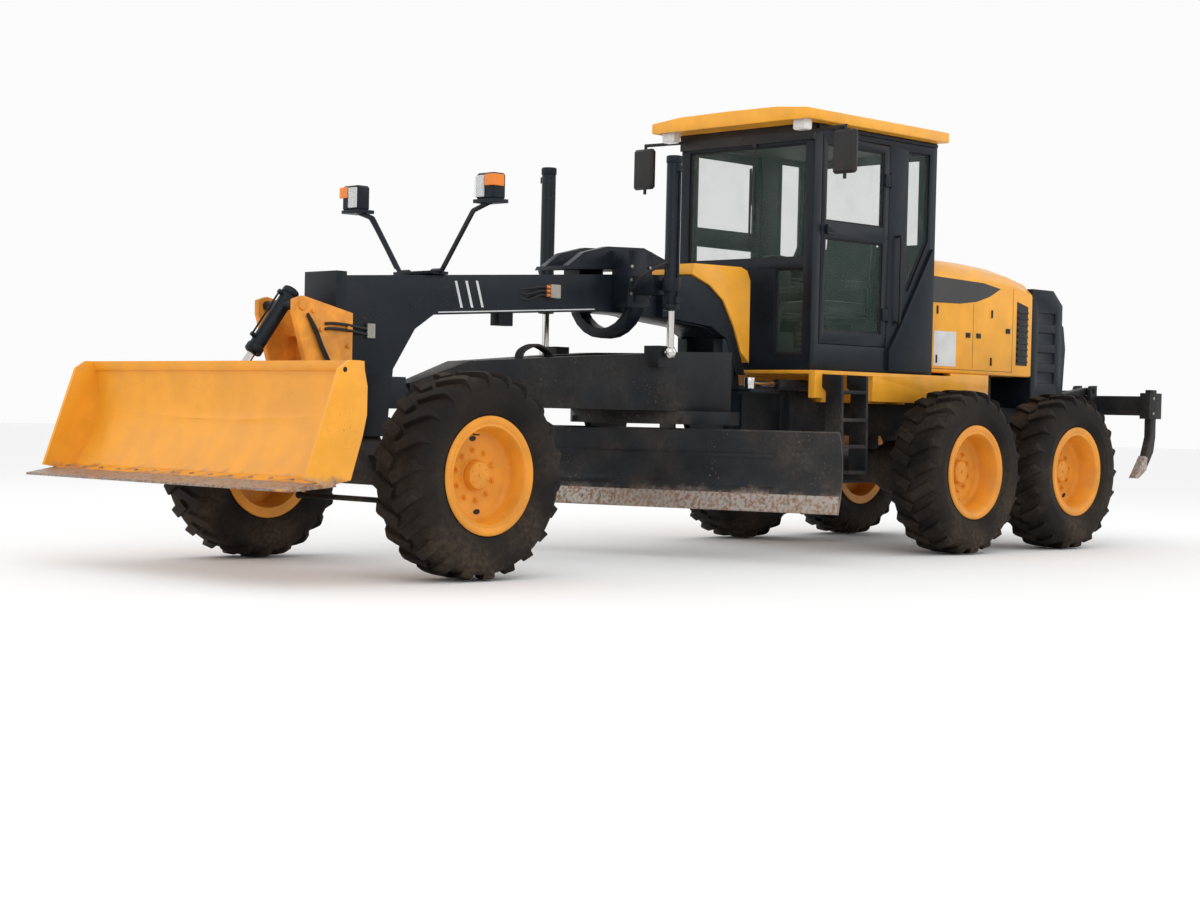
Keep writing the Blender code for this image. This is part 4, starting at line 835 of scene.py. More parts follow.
# ------------------------------------------------------------------ sub-assemblies
@dataclass
class Wheel:
    """A wheel: ribbed traction tyre on a dished rim with bolts and a hub cap."""

    dish: float
    bolts: int = 10
    bolt_circle: float = 0.160
    lugs: int = 22
    tread_base: float = 0.640
    lug_top: float = 0.668
    half_width: float = 0.2205
    slant: float = 27.0

    def tyre(self) -> bpy.types.Object:
        """Model the tyre at the origin, its outer side towards +Y."""
        upper = [(0.335, 0.183), (0.386, 0.187), (0.398, 0.199), (0.418, 0.203), (0.425, 0.210),
                 (0.470, 0.2175),
                 (0.480, 0.2205), (0.492, 0.2185), (0.540, self.half_width), (0.585, 0.214), (0.612, 0.200),
                 (0.630, 0.165), (self.tread_base, 0.09)]
        section = upper + [(radius, -along) for radius, along in reversed(upper)]
        carcass = Bench.spun("carcass", section, Vector((0, 0, 0)), Axis.Y, 72, True)
        outline = [(-0.012, 0.632), (-0.010, self.lug_top), (0.11, self.lug_top + 0.001),
                   (0.172, self.lug_top - 0.006),
                   (0.198, self.lug_top - 0.018), (0.212, 0.618), (0.2185,
                                                                   0.583), (0.2165, 0.570), (0.200, 0.585),
                   (0.150, 0.625)]
        lug = Bench.plate("lug", [Vector((-0.038, y, z)) for y, z in outline], Vector((0.076, 0, 0)), 0.005)
        turn = Matrix.Translation((0, 0.10, 0)) @ Matrix.Rotation(math.radians(self.slant), 4, "Z")
        lug.data.transform(turn @ Matrix.Translation((0, -0.10, 0)))
        pieces = [carcass]
        pitch = math.tau / self.lugs
        for side, start in ((1, 0.0), (-1, 0.5)):
            for count in range(self.lugs):
                place = Matrix.Rotation((count + start) * pitch, 4,
                                        "Y") @ Matrix.Scale(side, 4, Axis.Y.vector)
                pieces.append(Bench.copy_of(lug, "lug_copy", place))
        bpy.data.objects.remove(lug)
        return Bench.joined("tyre_model", pieces)

    def rim(self) -> bpy.types.Object:
        """Model the rim at the origin, its outer side towards +Y."""
        face = 0.205
        seat = 0.1932
        disc = face - self.dish
        section = [
            (0.0, disc + 0.060), (0.070, disc + 0.060), (0.086, disc + 0.055), (0.094, disc + 0.042),
            (0.097, disc + 0.006), (0.104, disc), (0.205, disc), (0.214,
                                                                  disc + 0.006), (0.262, disc + 0.006),
            (0.282, disc + 0.014), (0.296, disc + 0.040), (0.306, face - 0.020), (0.318, face - 0.006),
            (0.334, face - 0.010), (0.344, face - 0.004), (0.366, face), (0.380, face - 0.003),
            (0.3845, face - 0.008), (0.3845, seat), (0.331, seat - 0.002), (0.331, -seat + 0.002),
            (0.3845, -seat), (0.3845, -face + 0.006), (0.378, -face), (0.312, -face + 0.008),
            (0.288, disc - 0.030), (0.105, disc - 0.030), (0.105,
                                                           -0.098), (0.0565, -0.098), (0.0565, -0.0215),
            (0.0, -0.0215),
        ]
        pan = Bench.spun("pan", section, Vector((0, 0, 0)), Axis.Y, 64, False)
        return Bench.joined("rim_model", [pan])

    def hub(self) -> bpy.types.Object:
        """Model the bolts, hub cap screws and plug at the origin."""
        disc = 0.205 - self.dish
        pieces = []
        washer = Bench.drum("washer", Vector((0, disc, self.bolt_circle)),
                            Vector((0, disc + 0.005, self.bolt_circle)),
                            0.019, 16, 0.001)
        nut = Bench.drum("nut", Vector((0, disc, self.bolt_circle)),
                         Vector((0, disc + 0.020, self.bolt_circle)),
                         0.0135, 6, 0.0015)
        stud = Bench.drum("stud", Vector((0, disc, self.bolt_circle)),
                          Vector((0, disc + 0.028, self.bolt_circle)),
                          0.007, 10, 0.001)
        fastener = Bench.joined("fastener", [washer, nut, stud])
        for count in range(self.bolts):
            place = Matrix.Rotation(math.tau * count / self.bolts, 4, "Y")
            pieces.append(Bench.copy_of(fastener, "fastener_copy", place))
        bpy.data.objects.remove(fastener)
        screw = Bench.drum("screw", Vector((0, disc + 0.058, 0.068)), Vector((0, disc + 0.064, 0.068)),
                           0.006, 6, 0.001)
        for count in range(6):
            pieces.append(Bench.copy_of(screw, "screw_copy", Matrix.Rotation(math.tau * count / 6, 4, "Y")))
        bpy.data.objects.remove(screw)
        plug = Bench.drum("plug", Vector((0, disc + 0.058, 0)), Vector((0, disc + 0.066, 0)), 0.014, 6,
                          0.002)
        pieces.append(plug)
        return Bench.joined("hub_model", pieces)

    def dark_parts(self) -> bpy.types.Object:
        """Model dark discs painted as the shade in the disc's slots, and the tyre valve, at the origin."""
        disc = 0.205 - self.dish
        pieces = []
        # Painted shade: a thin black disc on the rim stands in for the shade seen through each slot.
        slot = Bench.drum("slot", Vector((0, disc + 0.0055, -0.236)), Vector((0, disc + 0.008, -0.236)),
                          0.017, 20, 0.0)
        slot.data.transform(Matrix.Scale(1.7, 4, Axis.X.vector))
        pieces.append(slot)
        pieces.append(Bench.copy_of(slot, "slot_shade_copy", Matrix.Rotation(math.pi, 4, "Y")))
        stem = [Vector((0.0, disc + 0.004, 0.268)), Vector((0.0, disc + 0.030, 0.262)),
                Vector((0.0, disc + 0.070, 0.262))]
        pieces.append(Bench.hose("stem", stem, 0.005))
        return Bench.joined("slot_shades_and_valve_model", pieces)

    def fit(self, places: Sequence[tuple[str, float]]) -> None:
        """Copy the wheel to both sides at each place and dress it.

        Args:
            places: names of the wheel pairs with their stations.
        """
        models = (
            (self.tyre(), "tyre", RUBBER, Slot.TYRE),
            (self.rim(), "rim", RIM_YELLOW, Slot.YELLOW),
            (self.hub(), "hub_bolts", RIM_YELLOW, Slot.YELLOW),
            (self.dark_parts(), "rim_slots", BLACK_PLASTIC, Slot.TRIM),
        )
        for number, (place, station) in enumerate(places):
            for side, word in SIDES:
                turn = Matrix.Rotation(0.35 * number + 0.1 * side, 4, "Y")
                where = Matrix.Translation(spot(station, side * WHEEL_Y, WHEEL_RADIUS))
                if side < 0:
                    where = where @ Matrix.Rotation(math.pi, 4, "Z")
                for model, part, finish, slot in models:
                    piece = Bench.copy_of(model, f"{part}_model_{place}_{word}", where @ turn)
                    stands_for = [f"{part}_{place}_{word}"] if part in ("tyre", "rim") else []
                    dress(piece, finish, f"wheel_{place}_{word}", slot, *stands_for)
        for model, *_ in models:
            bpy.data.objects.remove(model)


@dataclass
class Pane:
    """A sheet of glass in a rubber seal, in a plane that faces along one axis."""

    outline: Sequence[Vector]
    axis: Axis
    thickness: float = 0.005
    seal: float = 0.012

    def fit(self, name: str, body: str) -> None:
        """Make the glass and its seal.

        Args:
            name: what the pane belongs to.
            body: the body it moves with.
        """
        depth = self.axis.vector * self.thickness
        glass = Bench.plate(name + "_glass", self.outline, depth)
        dress(glass, CAB_GLASS, body, Slot.TRIM)
        loop = list(self.outline) + [self.outline[0]]
        rims = []
        for start, end in zip(loop, loop[1:]):
            shift = depth * 0.5
            rims.append(Bench.drum("seal_run", start + shift, end + shift, self.seal, 10, 0.0))
        dress(Bench.joined(name + "_seal", rims), SEAL_RUBBER, body, Slot.TRIM)


@dataclass
class Cab:
    """Operator's cab: glass, lamps, handles, seat and controls."""

    front: float = 1.385
    rear: float = -0.27
    half: float = 0.70
    roof_low: float = 3.42
    door_rear: float = 0.466
    door_front: float = 1.219
    seat_cuts: int = 9

    def glazing(self) -> None:
        """Fit the windscreen, lower lights, side, door and rear glass."""
        x = self.front - 0.032
        wide = [spot(x, y, z) for y,
                z in ((-0.606, 2.364), (0.606, 2.364), (0.606, 3.266), (-0.606, 3.266))]
        Pane(wide, Axis.X).fit("windscreen", "rear_body")
        back = [spot(self.rear + 0.028, y, z) for y,
                z in ((-0.556, 2.564), (0.556, 2.564), (0.556, 3.296), (-0.556, 3.296))]
        Pane(back, Axis.X).fit("rear_window", "rear_body")
        for side, word in SIDES:
            low = [spot(x, side * y, z) for y,
                   z in ((0.334, 1.604), (0.606, 1.604), (0.606, 2.276), (0.334, 2.276))]
            Pane(low, Axis.X).fit(f"lower_light_{word}", "rear_body")
            y = side * (self.half - 0.030)
            corners = ((-0.166, 2.605), (-0.166, 3.316), (0.126, 3.316), (0.126, 2.166), (0.104, 2.166))
            Pane([spot(a, y, b) for a, b in corners], Axis.Y).fit(f"quarter_window_{word}", "rear_body")
            y = side * (self.half - 0.024)
            for part, low_z, high_z in (("upper", 2.664, 3.270), ("lower", 1.790, 2.526)):
                corners = ((self.door_rear, low_z), (self.door_front, low_z), (self.door_front, high_z),
                           (self.door_rear, high_z))
                Pane([spot(a, y, b) for a, b in corners], Axis.Y).fit(f"door_{part}_{word}", f"door_{word}")

    def fittings(self) -> None:
        """Fit roof lamps, wipers, handles, drip rails and mirror glass."""
        for side, word in SIDES:
            housing = Bench.block(f"roof_lamp_{word}", spot(1.490, side * 0.625, 3.345),
                                  spot(1.585, side * 0.755, 3.45), 0.018)
            dress(housing, WHITE_LAMP, "rear_body", Slot.TRIM)
            lens = Bench.block(f"roof_lamp_lens_{word}", spot(1.583, side * 0.638, 3.357),
                               spot(1.592, side * 0.742, 3.438), 0.003)
            dress(lens, LENS_GLASS, "rear_body", Slot.TRIM)
            grip = [spot(0.27, side * 0.745, z) for z in (1.90, 1.92, 2.30, 2.58, 2.60)]
            grip[0].y = grip[-1].y = side * 0.702
            dress(Bench.hose(f"grab_rail_{word}", grip, 0.011), BLACK_PLASTIC, "rear_body", Slot.SLATE)
            latch = Bench.block(f"door_latch_{word}", spot(1.135, side * 0.701, 2.555),
                                spot(1.225, side * 0.722, 2.635), 0.006)
            dress(latch, BLACK_PLASTIC, f"door_{word}", Slot.TRIM)
            glass = Bench.block(f"mirror_glass_{word}", spot(1.4265, side * 0.962, 3.008),
                                spot(1.4305, side * 1.148, 3.312), 0.001)
            dress(glass, MIRROR, "rear_body", Slot.TRIM)
            rail = Bench.block(f"drip_rail_{word}", spot(-0.25, side * 0.701, 3.385),
                               spot(1.36, side * 0.722, 3.412), 0.004)
            dress(rail, SLATE, "rear_body", Slot.SLATE)
        arm = [spot(1.395, 0.10, 3.275), spot(1.402, 0.08, 3.0), spot(1.398, 0.07, 2.80)]
        parts = [Bench.hose("wiper_arm", arm, 0.007)]
        parts.append(Bench.drum("wiper_pivot", spot(1.386, 0.10, 3.28), spot(1.408, 0.10, 3.28), 0.018, 16))
        parts.append(Bench.block("wiper_blade", spot(1.386, 0.045, 2.52), spot(1.398, 0.063, 3.10), 0.003))
        dress(Bench.joined("windscreen_wiper", parts), BLACK_PLASTIC, "rear_body", Slot.TRIM)
        liner = Bench.block("headliner", spot(-0.19, -0.62, 3.352), spot(1.29, 0.62, 3.366), 0.004)
        dress(liner, TRIM_PLASTIC, "rear_body", Slot.TRIM)

    def cushion(self, name: str, low: Vector, high: Vector, crown: float, channels: int,
                tall: bool) -> bpy.types.Object:
        """Model a stuffed cushion: crowned faces, pulled-in sides and sewn channels.

        Args:
            name: the cushion's name.
            low: one corner.
            high: the opposite corner.
            crown: how far the faces swell.
            channels: number of sewn channels across it.
            tall: whether it stands up, as a back does.

        Returns:
            The cushion.
        """
        piece = Bench.block(name, low, high, 0.0)
        Bench.edit(piece)
        bpy.ops.mesh.subdivide(number_cuts=self.seat_cuts)
        Bench.done()
        middle = (Vector(low) + Vector(high)) / 2
        half = (Vector(high) - Vector(low)) / 2
        run, flat = (2, 0) if tall else (0, 2)
        for vertex in piece.data.vertices:
            share = Vector([(c - m) / h for c, m, h in zip(vertex.co, middle, half)])
            swell = (1 - share[run] ** 4) * (1 - share[1] ** 4)
            groove = abs(math.sin((share[run] + 1) * math.pi * channels / 2)) ** 0.5
            depth = crown * swell * (0.55 + 0.45 * groove)
            vertex.co[flat] += math.copysign(depth, share[flat]) * abs(share[flat]) - share[flat] * crown
            pull = 1 - 0.07 * (1 - abs(share[flat])) * abs(share[1])
            vertex.co[1] = middle[1] + (vertex.co[1] - middle[1]) * pull
        smooth = piece.modifiers.new("fullness", "SUBSURF")
        smooth.levels = 2
        smooth.render_levels = 2
        Bench.pick(piece)
        bpy.ops.object.modifier_apply(modifier=smooth.name)
        bpy.ops.object.shade_smooth()
        return piece

    def seat(self) -> None:
        """Fit the operator's seat in place of its packed stand-in."""
        base = Bench.block("seat_base", spot(0.10, -0.20, 1.512), spot(0.52, 0.20, 1.60), 0.01)
        folds = [Bench.block("fold", spot(0.14, -0.17, 1.60 + 0.045 * n),
                             spot(0.48, 0.17, 1.637 + 0.045 * n), 0.012)
                 for n in range(7)]
        pan = Bench.block("pan", spot(0.05, -0.25, 1.915), spot(0.58, 0.25, 1.955), 0.012)
        stand = Bench.joined("seat_suspension", [base, pan] + folds)
        dress(stand, TRIM_PLASTIC, "rear_body", Slot.TRIM, "operator_seat")
        bottom = self.cushion("seat_cushion", spot(0.05, -0.255, 1.955), spot(0.595, 0.255, 2.085), 0.018,
                              3, False)
        dress(bottom, SEAT_CLOTH, "rear_body", Slot.TRIM)
        back = self.cushion("seat_back", spot(-0.045, -0.24, 2.05), spot(0.075, 0.24, 2.70), 0.018, 5, True)
        lean = Matrix.Rotation(math.radians(-6), 4, "Y")
        foot = spot(0.02, 0, 2.05)
        back.data.transform(Matrix.Translation(foot) @ lean @ Matrix.Translation(-foot))
        dress(back, SEAT_CLOTH, "rear_body", Slot.TRIM)
        for side, word in SIDES:
            rest = self.cushion(f"armrest_{word}", spot(0.09, side * 0.285 - 0.032, 2.185),
                                spot(0.44, side * 0.285 + 0.032, 2.25),
                                0.006, 1, False)
            dress(rest, SEAT_CLOTH, "rear_body", Slot.TRIM)
            bracket = Bench.block(f"armrest_bracket_{word}", spot(0.11, side * 0.275, 2.02),
                                  spot(0.15, side * 0.295, 2.19), 0.004)
            dress(bracket, TRIM_PLASTIC, "rear_body", Slot.TRIM)

    def controls(self) -> None:
        """Fit the steering column, wheel, gauges and lever banks in place of their stand-in."""
        floor = 1.512
        parts = [Bench.block("pedestal", spot(0.87, -0.13, floor), spot(1.09, 0.13, 1.79), 0.02)]
        parts.append(Bench.drum("column", spot(1.00, 0, 1.74), spot(0.875, 0, 2.28), 0.045, 20))
        parts.append(Bench.block("dash", spot(0.77, -0.29, 2.103), spot(0.99, 0.29, 2.167), 0.012))
        parts.append(Bench.block("gauges", spot(0.93, -0.13, 2.16), spot(0.99, 0.13, 2.30), 0.012))
        for side, _ in SIDES:
            for count in range(4):
                root = spot(0.82 + 0.002 * count, side * (0.14 + 0.042 * count), 2.16)
                tip = root + Vector((-0.03, 0, 0.16))
                parts.append(Bench.drum("lever", root, tip, 0.005, 8, 0.0))
                parts.append(Bench.drum("knob", tip, tip + Vector((-0.006, 0, 0.035)), 0.011, 12, 0.004))
        dress(Bench.joined("control_stand", parts), TRIM_PLASTIC, "rear_body", Slot.TRIM,
              "steering_console")
        hub = spot(0.86, 0, 2.33)
        Bench.clear()
        bpy.ops.mesh.primitive_torus_add(major_radius=0.188, minor_radius=0.0125, major_segments=48,
                                         minor_segments=12)
        pieces = [Bench.settle("wheel_ring")]
        pieces.append(Bench.drum("wheel_boss", Vector((0, 0, -0.02)), Vector((0, 0, 0.016)), 0.035, 24,
                                 0.006))
        for count in range(3):
            way = Matrix.Rotation(math.tau * count / 3 + math.pi / 2, 4, "Z") @ Vector((0.185, 0, 0))
            pieces.append(Bench.drum("spoke", Vector((0, 0, 0)), way, 0.008, 10, 0.0))
        steering = Bench.joined("steering_wheel", pieces)
        steering.data.transform(Matrix.Translation(hub) @ Matrix.Rotation(math.radians(-28), 4, "Y"))
        Bench.shade(steering)
        dress(steering, BLACK_PLASTIC, "rear_body", Slot.TRIM)

    def build(self) -> None:
        """Make the whole cab."""
        refine("cab_shell", "rear_body", SLATE, Slot.SLATE, 0.008)
        refine("cab_roof", "rear_body", YELLOW, Slot.YELLOW, 0.012)
        refine("visor_and_mirrors", "rear_body", BLACK_PLASTIC, Slot.SLATE, 0.004)
        for _, word in SIDES:
            refine(f"cab_door_{word}", f"door_{word}", SLATE, Slot.SLATE, 0.006)
            refine(f"ladder_{word}", "rear_body", SLATE_LOW, Slot.SLATE, 0.003)
        self.glazing()
        self.fittings()
        self.seat()
        self.controls()


@dataclass
class RearBody:
    """Rear frame, engine hood, radiator guard and tandem drive."""

    hood_half: float = 0.60
    louvres: int = 9

    def build(self) -> None:
        """Make the rear of the machine without its cab."""
        refine("rear_frame", "rear_body", SLATE_LOW, Slot.SLATE)
        refine("tandem_drive", "rear_body", SLATE_LOW, Slot.SLATE)
        refine("platform", "rear_body", YELLOW, Slot.YELLOW, 0.005)
        refine("hood", "rear_body", YELLOW, Slot.YELLOW, 0.014)
        refine("engine_block", "rear_body", IRON, Slot.IRON)
        refine("radiator_guard", "rear_body", SLATE, Slot.SLATE, 0.008)
        for side, word in SIDES:
            self.hood_side(side, word)
        self.grille()

    def hood_side(self, side: int, word: str) -> None:
        """Fit stripe, blank plate, louvres with a painted shade sheet behind them, seams and latches on one
        side of the hood.

        Args:
            side: 1 for left, -1 for right.
            word: the side's name.
        """
        face = side * (self.hood_half + 0.0002)
        out = Vector((0, side * 0.0022, 0))
        swoosh = ((-0.385, 2.325), (-1.16, 2.305), (-1.43, 2.268), (-1.26, 2.19), (-1.05, 2.135),
                  (-0.80, 2.108),
                  (-0.385, 2.10))
        stripe = Bench.plate(f"hood_stripe_{word}", [spot(x, face, z) for x, z in swoosh], out)
        dress(stripe, DARK_DECAL, "rear_body", Slot.SLATE)
        plate = Bench.block(f"blank_plate_{word}", spot(-0.76, face, 1.56),
                            spot(-0.43, face + side * 0.003, 1.86), 0.001)
        dress(plate, PALE_DECAL, "rear_body", Slot.TRIM)
        # Painted shade: a flat black sheet behind the slats stands in for the shade in the louvre opening.
        louvre_shade = [spot(x, face, z) for x, z in ((-1.70, 1.60), (-1.70, 2.17), (-1.88, 2.13), (-1.88, 1.60))]
        dress(Bench.plate(f"louvre_shade_sheet_{word}", louvre_shade, out), BLACK_PLASTIC, "rear_body", Slot.SLATE)
        slats = []
        for count in range(self.louvres):
            z = 1.64 + 0.055 * count
            outline = [spot(-1.87, face, z), spot(-1.87, face + side * 0.016, z - 0.012),
                       spot(-1.87, face + side * 0.018, z - 0.006), spot(-1.87, face, z + 0.022)]
            slats.append(Bench.plate("slat", outline, Vector((0.16, 0, 0)), 0.001))
        dress(Bench.joined(f"hood_louvres_{word}", slats), SLATE, "rear_body", Slot.SLATE)
        seams = []
        for low, high in (((-1.02, 1.56), (-1.016, 2.12)), ((-1.64, 1.53), (-1.636, 2.28)),
                          ((-1.64, 1.535), (-0.40, 1.539))):
            seams.append(Bench.block("seam", spot(low[0], face - side * 0.001, low[1]),
                                     spot(high[0], face + side * 0.0006, high[1]), 0.0))
        dress(Bench.joined(f"door_seams_{word}", seams), SEAL_RUBBER, "rear_body", Slot.YELLOW)
        latches = []
        for x, z in ((-1.10, 1.84), (-0.94, 1.84), (-1.56, 1.90)):
            latches.append(Bench.block("latch", spot(x - 0.032, face, z - 0.022),
                                       spot(x + 0.032, face + side * 0.009, z + 0.022), 0.004))
            latches.append(Bench.drum("lock", spot(x, face, z), spot(x, face + side * 0.014, z), 0.010, 16,
                                      0.002))
        for x in (-0.47, -1.30):
            for z in (1.62, 2.04):
                latches.append(Bench.drum("hinge", spot(x, face + side * 0.006, z - 0.035),
                                          spot(x, face + side * 0.006, z + 0.035), 0.008, 12))
        dress(Bench.joined(f"hood_latches_{word}", latches), BLACK_PLASTIC, "rear_body", Slot.SLATE)

    def grille(self) -> None:
        """Fit the rear grille between the guard's side walls and the lamps beside it."""
        bars = []
        x = -2.4595
        for count in range(11):
            z = 1.34 + 0.068 * count
            bars.append(Bench.block("bar", spot(x - 0.012, -0.50, z), spot(x + 0.004, -0.22, z + 0.022),
                                    0.004))
            bars.append(Bench.block("bar", spot(x - 0.012, 0.22, z), spot(x + 0.004, 0.50, z + 0.022),
                                    0.004))
        dress(Bench.joined("rear_grille", bars), SLATE, "rear_body", Slot.SLATE)
        for side, word in SIDES:
            for part, low, high, finish in (("red", 0.505, 0.585, REAR_RED),
                                            ("amber", 0.42, 0.50, AMBER_GLASS)):
                lamp = Bench.block(f"rear_lamp_{part}_{word}", spot(-2.475, side * low, 2.085),
                                   spot(-2.458, side * high, 2.145), 0.005)
                dress(lamp, finish, "rear_body", Slot.TRIM)


@dataclass
class FrontBody:
    """Front frame with its beam, saddle, lamps, axle and bracket."""

    half: float = 0.17
    depth: float = 0.275

    @staticmethod
    def crest(station: float) -> float:
        """Height of the beam's top at a station."""
        return 1.975 + (station - 5.66) / (2.99 - 5.66) * 0.195 * 0.86

    def build(self) -> None:
        """Make the front of the machine without its tools."""
        refine("front_frame", "front_body", SLATE, Slot.SLATE, 0.006)
        refine("neck_housing", "front_body", YELLOW, Slot.YELLOW, 0.010)
        refine("lift_saddle", "front_body", SLATE, Slot.SLATE)
        refine("lamp_bracket", "front_body", SLATE, Slot.SLATE, 0.003)
        refine("front_axle", "front_body", SLATE_LOW, Slot.SLATE)
        refine("dozer_bracket", "front_body", YELLOW_DUSTY, Slot.YELLOW, 0.005)
        for _, word in SIDES:
            refine(f"lift_barrel_{word}", "front_body", SLATE, Slot.SLATE, 0.002)
            refine(f"lift_rod_{word}", f"lift_rod_{word}", CHROME, Slot.STEEL, 0.002)
            refine(f"lean_yoke_{word}", f"lean_yoke_{word}", SLATE_LOW, Slot.SLATE)
            refine(f"knuckle_{word}", f"knuckle_{word}", SLATE_LOW, Slot.SLATE)
        refine("tie_rod", "tie_rod", SLATE_LOW, Slot.SLATE, 0.002)
        refine("tie_rod_stud", "tie_rod_stud", CHROME, Slot.STEEL, 0.001)
        self.beam_marks()
        self.lamps()
        self.lift_details()
        self.bracket_details()

    def beam_marks(self) -> None:
        """Fit stripes and the pale line on the beam, with a valve block, hoses and their sleeves."""
        for side, word in SIDES:
            face = side * (self.half + 0.0002)
            out = Vector((0, side * 0.0018, 0))
            marks = []
            for station in (4.46, 4.56, 4.66):
                low = self.crest(station) - self.depth + 0.045
                high = self.crest(station) - 0.045
                corners = [spot(station - 0.030, face, low), spot(station - 0.008, face, low),
                           spot(station + 0.052, face, high), spot(station + 0.030, face, high)]
                marks.append(Bench.plate("mark", corners, out))
            ends = [(3.30, 0.012), (4.86, 0.012), (4.86, 0.020), (3.30, 0.020)]
            corners = [spot(x, face, self.crest(x) - self.depth + lift) for x, lift in ends]
            marks.append(Bench.plate("line", corners, out))
            dress(Bench.joined(f"beam_stripes_{word}", marks), PALE_DECAL, "front_body", Slot.SLATE)
            pipes = []
            for lift in (0.165, 0.195, 0.225):
                route = [spot(x, face + side * 0.016,
                              self.crest(x) - self.depth + lift) for x in (1.95, 2.20, 2.60)]
                route += [spot(x, face + side * 0.016,
                               self.crest(x) - 0.03 - (0.26 - lift) * 0.6) for x in (3.70, 3.85)]
                pipes.append(route)
            valve = Bench.block(f"pipe_block_{word}", spot(3.70, face, self.crest(3.75) - 0.175),
                                spot(3.80, face + side * 0.045, self.crest(3.75) - 0.075), 0.006)
            dress(valve, BOLT_STEEL, "front_body", Slot.STEEL)
            for count, drop in enumerate((0.095, 0.125, 0.155)):
                z = self.crest(3.75) - drop
                route = [spot(3.79, face + side * 0.025, z), spot(3.90, face + side * 0.030, z - 0.004),
                         spot(4.00, face + side * 0.012,
                              z - 0.02 - 0.01 * count), spot(4.08, face - side * 0.004, z - 0.03)]
                dress(Bench.hose(f"beam_hose_{word}_{count}", route, 0.008), HOSE_RUBBER, "front_body",
                      Slot.TRIM)
                sleeve = Bench.drum(f"beam_sleeve_{word}_{count}", spot(3.800, face + side * 0.026, z),
                                    spot(3.835, face + side * 0.027, z), 0.0115, 14)
                dress(sleeve, ORANGE_SLEEVE, "front_body", Slot.YELLOW)

    def lamps(self) -> None:
        """Fit clear and amber glass on the two lamps of the cranked arms."""
        for side, word in SIDES:
            x = 4.951
            bowl = Bench.block(f"lamp_bowl_{word}", spot(x - 0.002, side * 0.628, 2.528),
                               spot(x + 0.004, side * 0.712, 2.672), 0.002)
            dress(bowl, REFLECTOR, "front_body", Slot.STEEL)
            lens = Bench.block(f"head_lens_{word}", spot(x + 0.004, side * 0.628, 2.528),
                               spot(x + 0.016, side * 0.712, 2.672), 0.005)
            dress(lens, LENS_GLASS, "front_body", Slot.TRIM)
            amber = Bench.block(f"amber_lens_{word}", spot(x - 0.09, side * 0.722, 2.60),
                                spot(x + 0.014, side * 0.812, 2.678), 0.006)
            dress(amber, AMBER_GLASS, "front_body", Slot.TRIM)
            lead = [spot(4.86, side * 0.66, 2.512), spot(4.885, side * 0.60, 2.462),
                    spot(4.895, side * 0.535, 2.430),
                    spot(4.895, side * 0.38, 2.24), spot(4.892, side * 0.26, 2.08)]
            dress(Bench.hose(f"lamp_lead_{word}", lead, 0.006), HOSE_RUBBER, "front_body", Slot.TRIM)

    def lift_details(self) -> None:
        """Fit glands, ports and hoses on the lift cylinders, and bolts on the saddle."""
        for side, word in SIDES:
            y = side * 0.656
            rings = [Bench.drum("gland", spot(2.99, y, 1.862), spot(2.99, y, 1.905), 0.062, 32, 0.004)]
            rings.append(Bench.drum("cap", spot(2.99, y, 2.945), spot(2.99, y, 2.998), 0.060, 32, 0.006))
            rings.append(Bench.block("port", spot(2.965, y + side * 0.035, 1.91),
                                     spot(3.015, y + side * 0.072, 1.96), 0.005))
            rings.append(Bench.block("port", spot(2.965, y + side * 0.035, 2.88),
                                     spot(3.015, y + side * 0.072, 2.93), 0.005))
            rings.append(Bench.drum("pipe", spot(2.99, y + side * 0.062, 1.95),
                                    spot(2.99, y + side * 0.062, 2.89), 0.008, 12, 0.0))
            dress(Bench.joined(f"lift_fittings_{word}", rings), SLATE, "front_body", Slot.SLATE)
            route = [spot(3.01, y, 2.20), spot(3.10, y - side * 0.03, 2.18), spot(3.16, side * 0.50, 2.10),
                     spot(3.14, side * 0.40, 2.02), spot(3.10, side * 0.335, 2.03)]
            route[0] = spot(3.045, y, 2.21)
            dress(Bench.hose(f"lift_hose_{word}", route, 0.011), HOSE_RUBBER, "front_body", Slot.TRIM)
            bolts = []
            for x in (2.89, 3.09):
                for z in (1.99, 2.09, 2.19):
                    bolts.append(Bench.drum("bolt", spot(x, side * 0.340, z), spot(x, side * 0.352, z),
                                            0.014, 6))
            dress(Bench.joined(f"saddle_bolts_{word}", bolts), BOLT_STEEL, "front_body", Slot.STEEL)

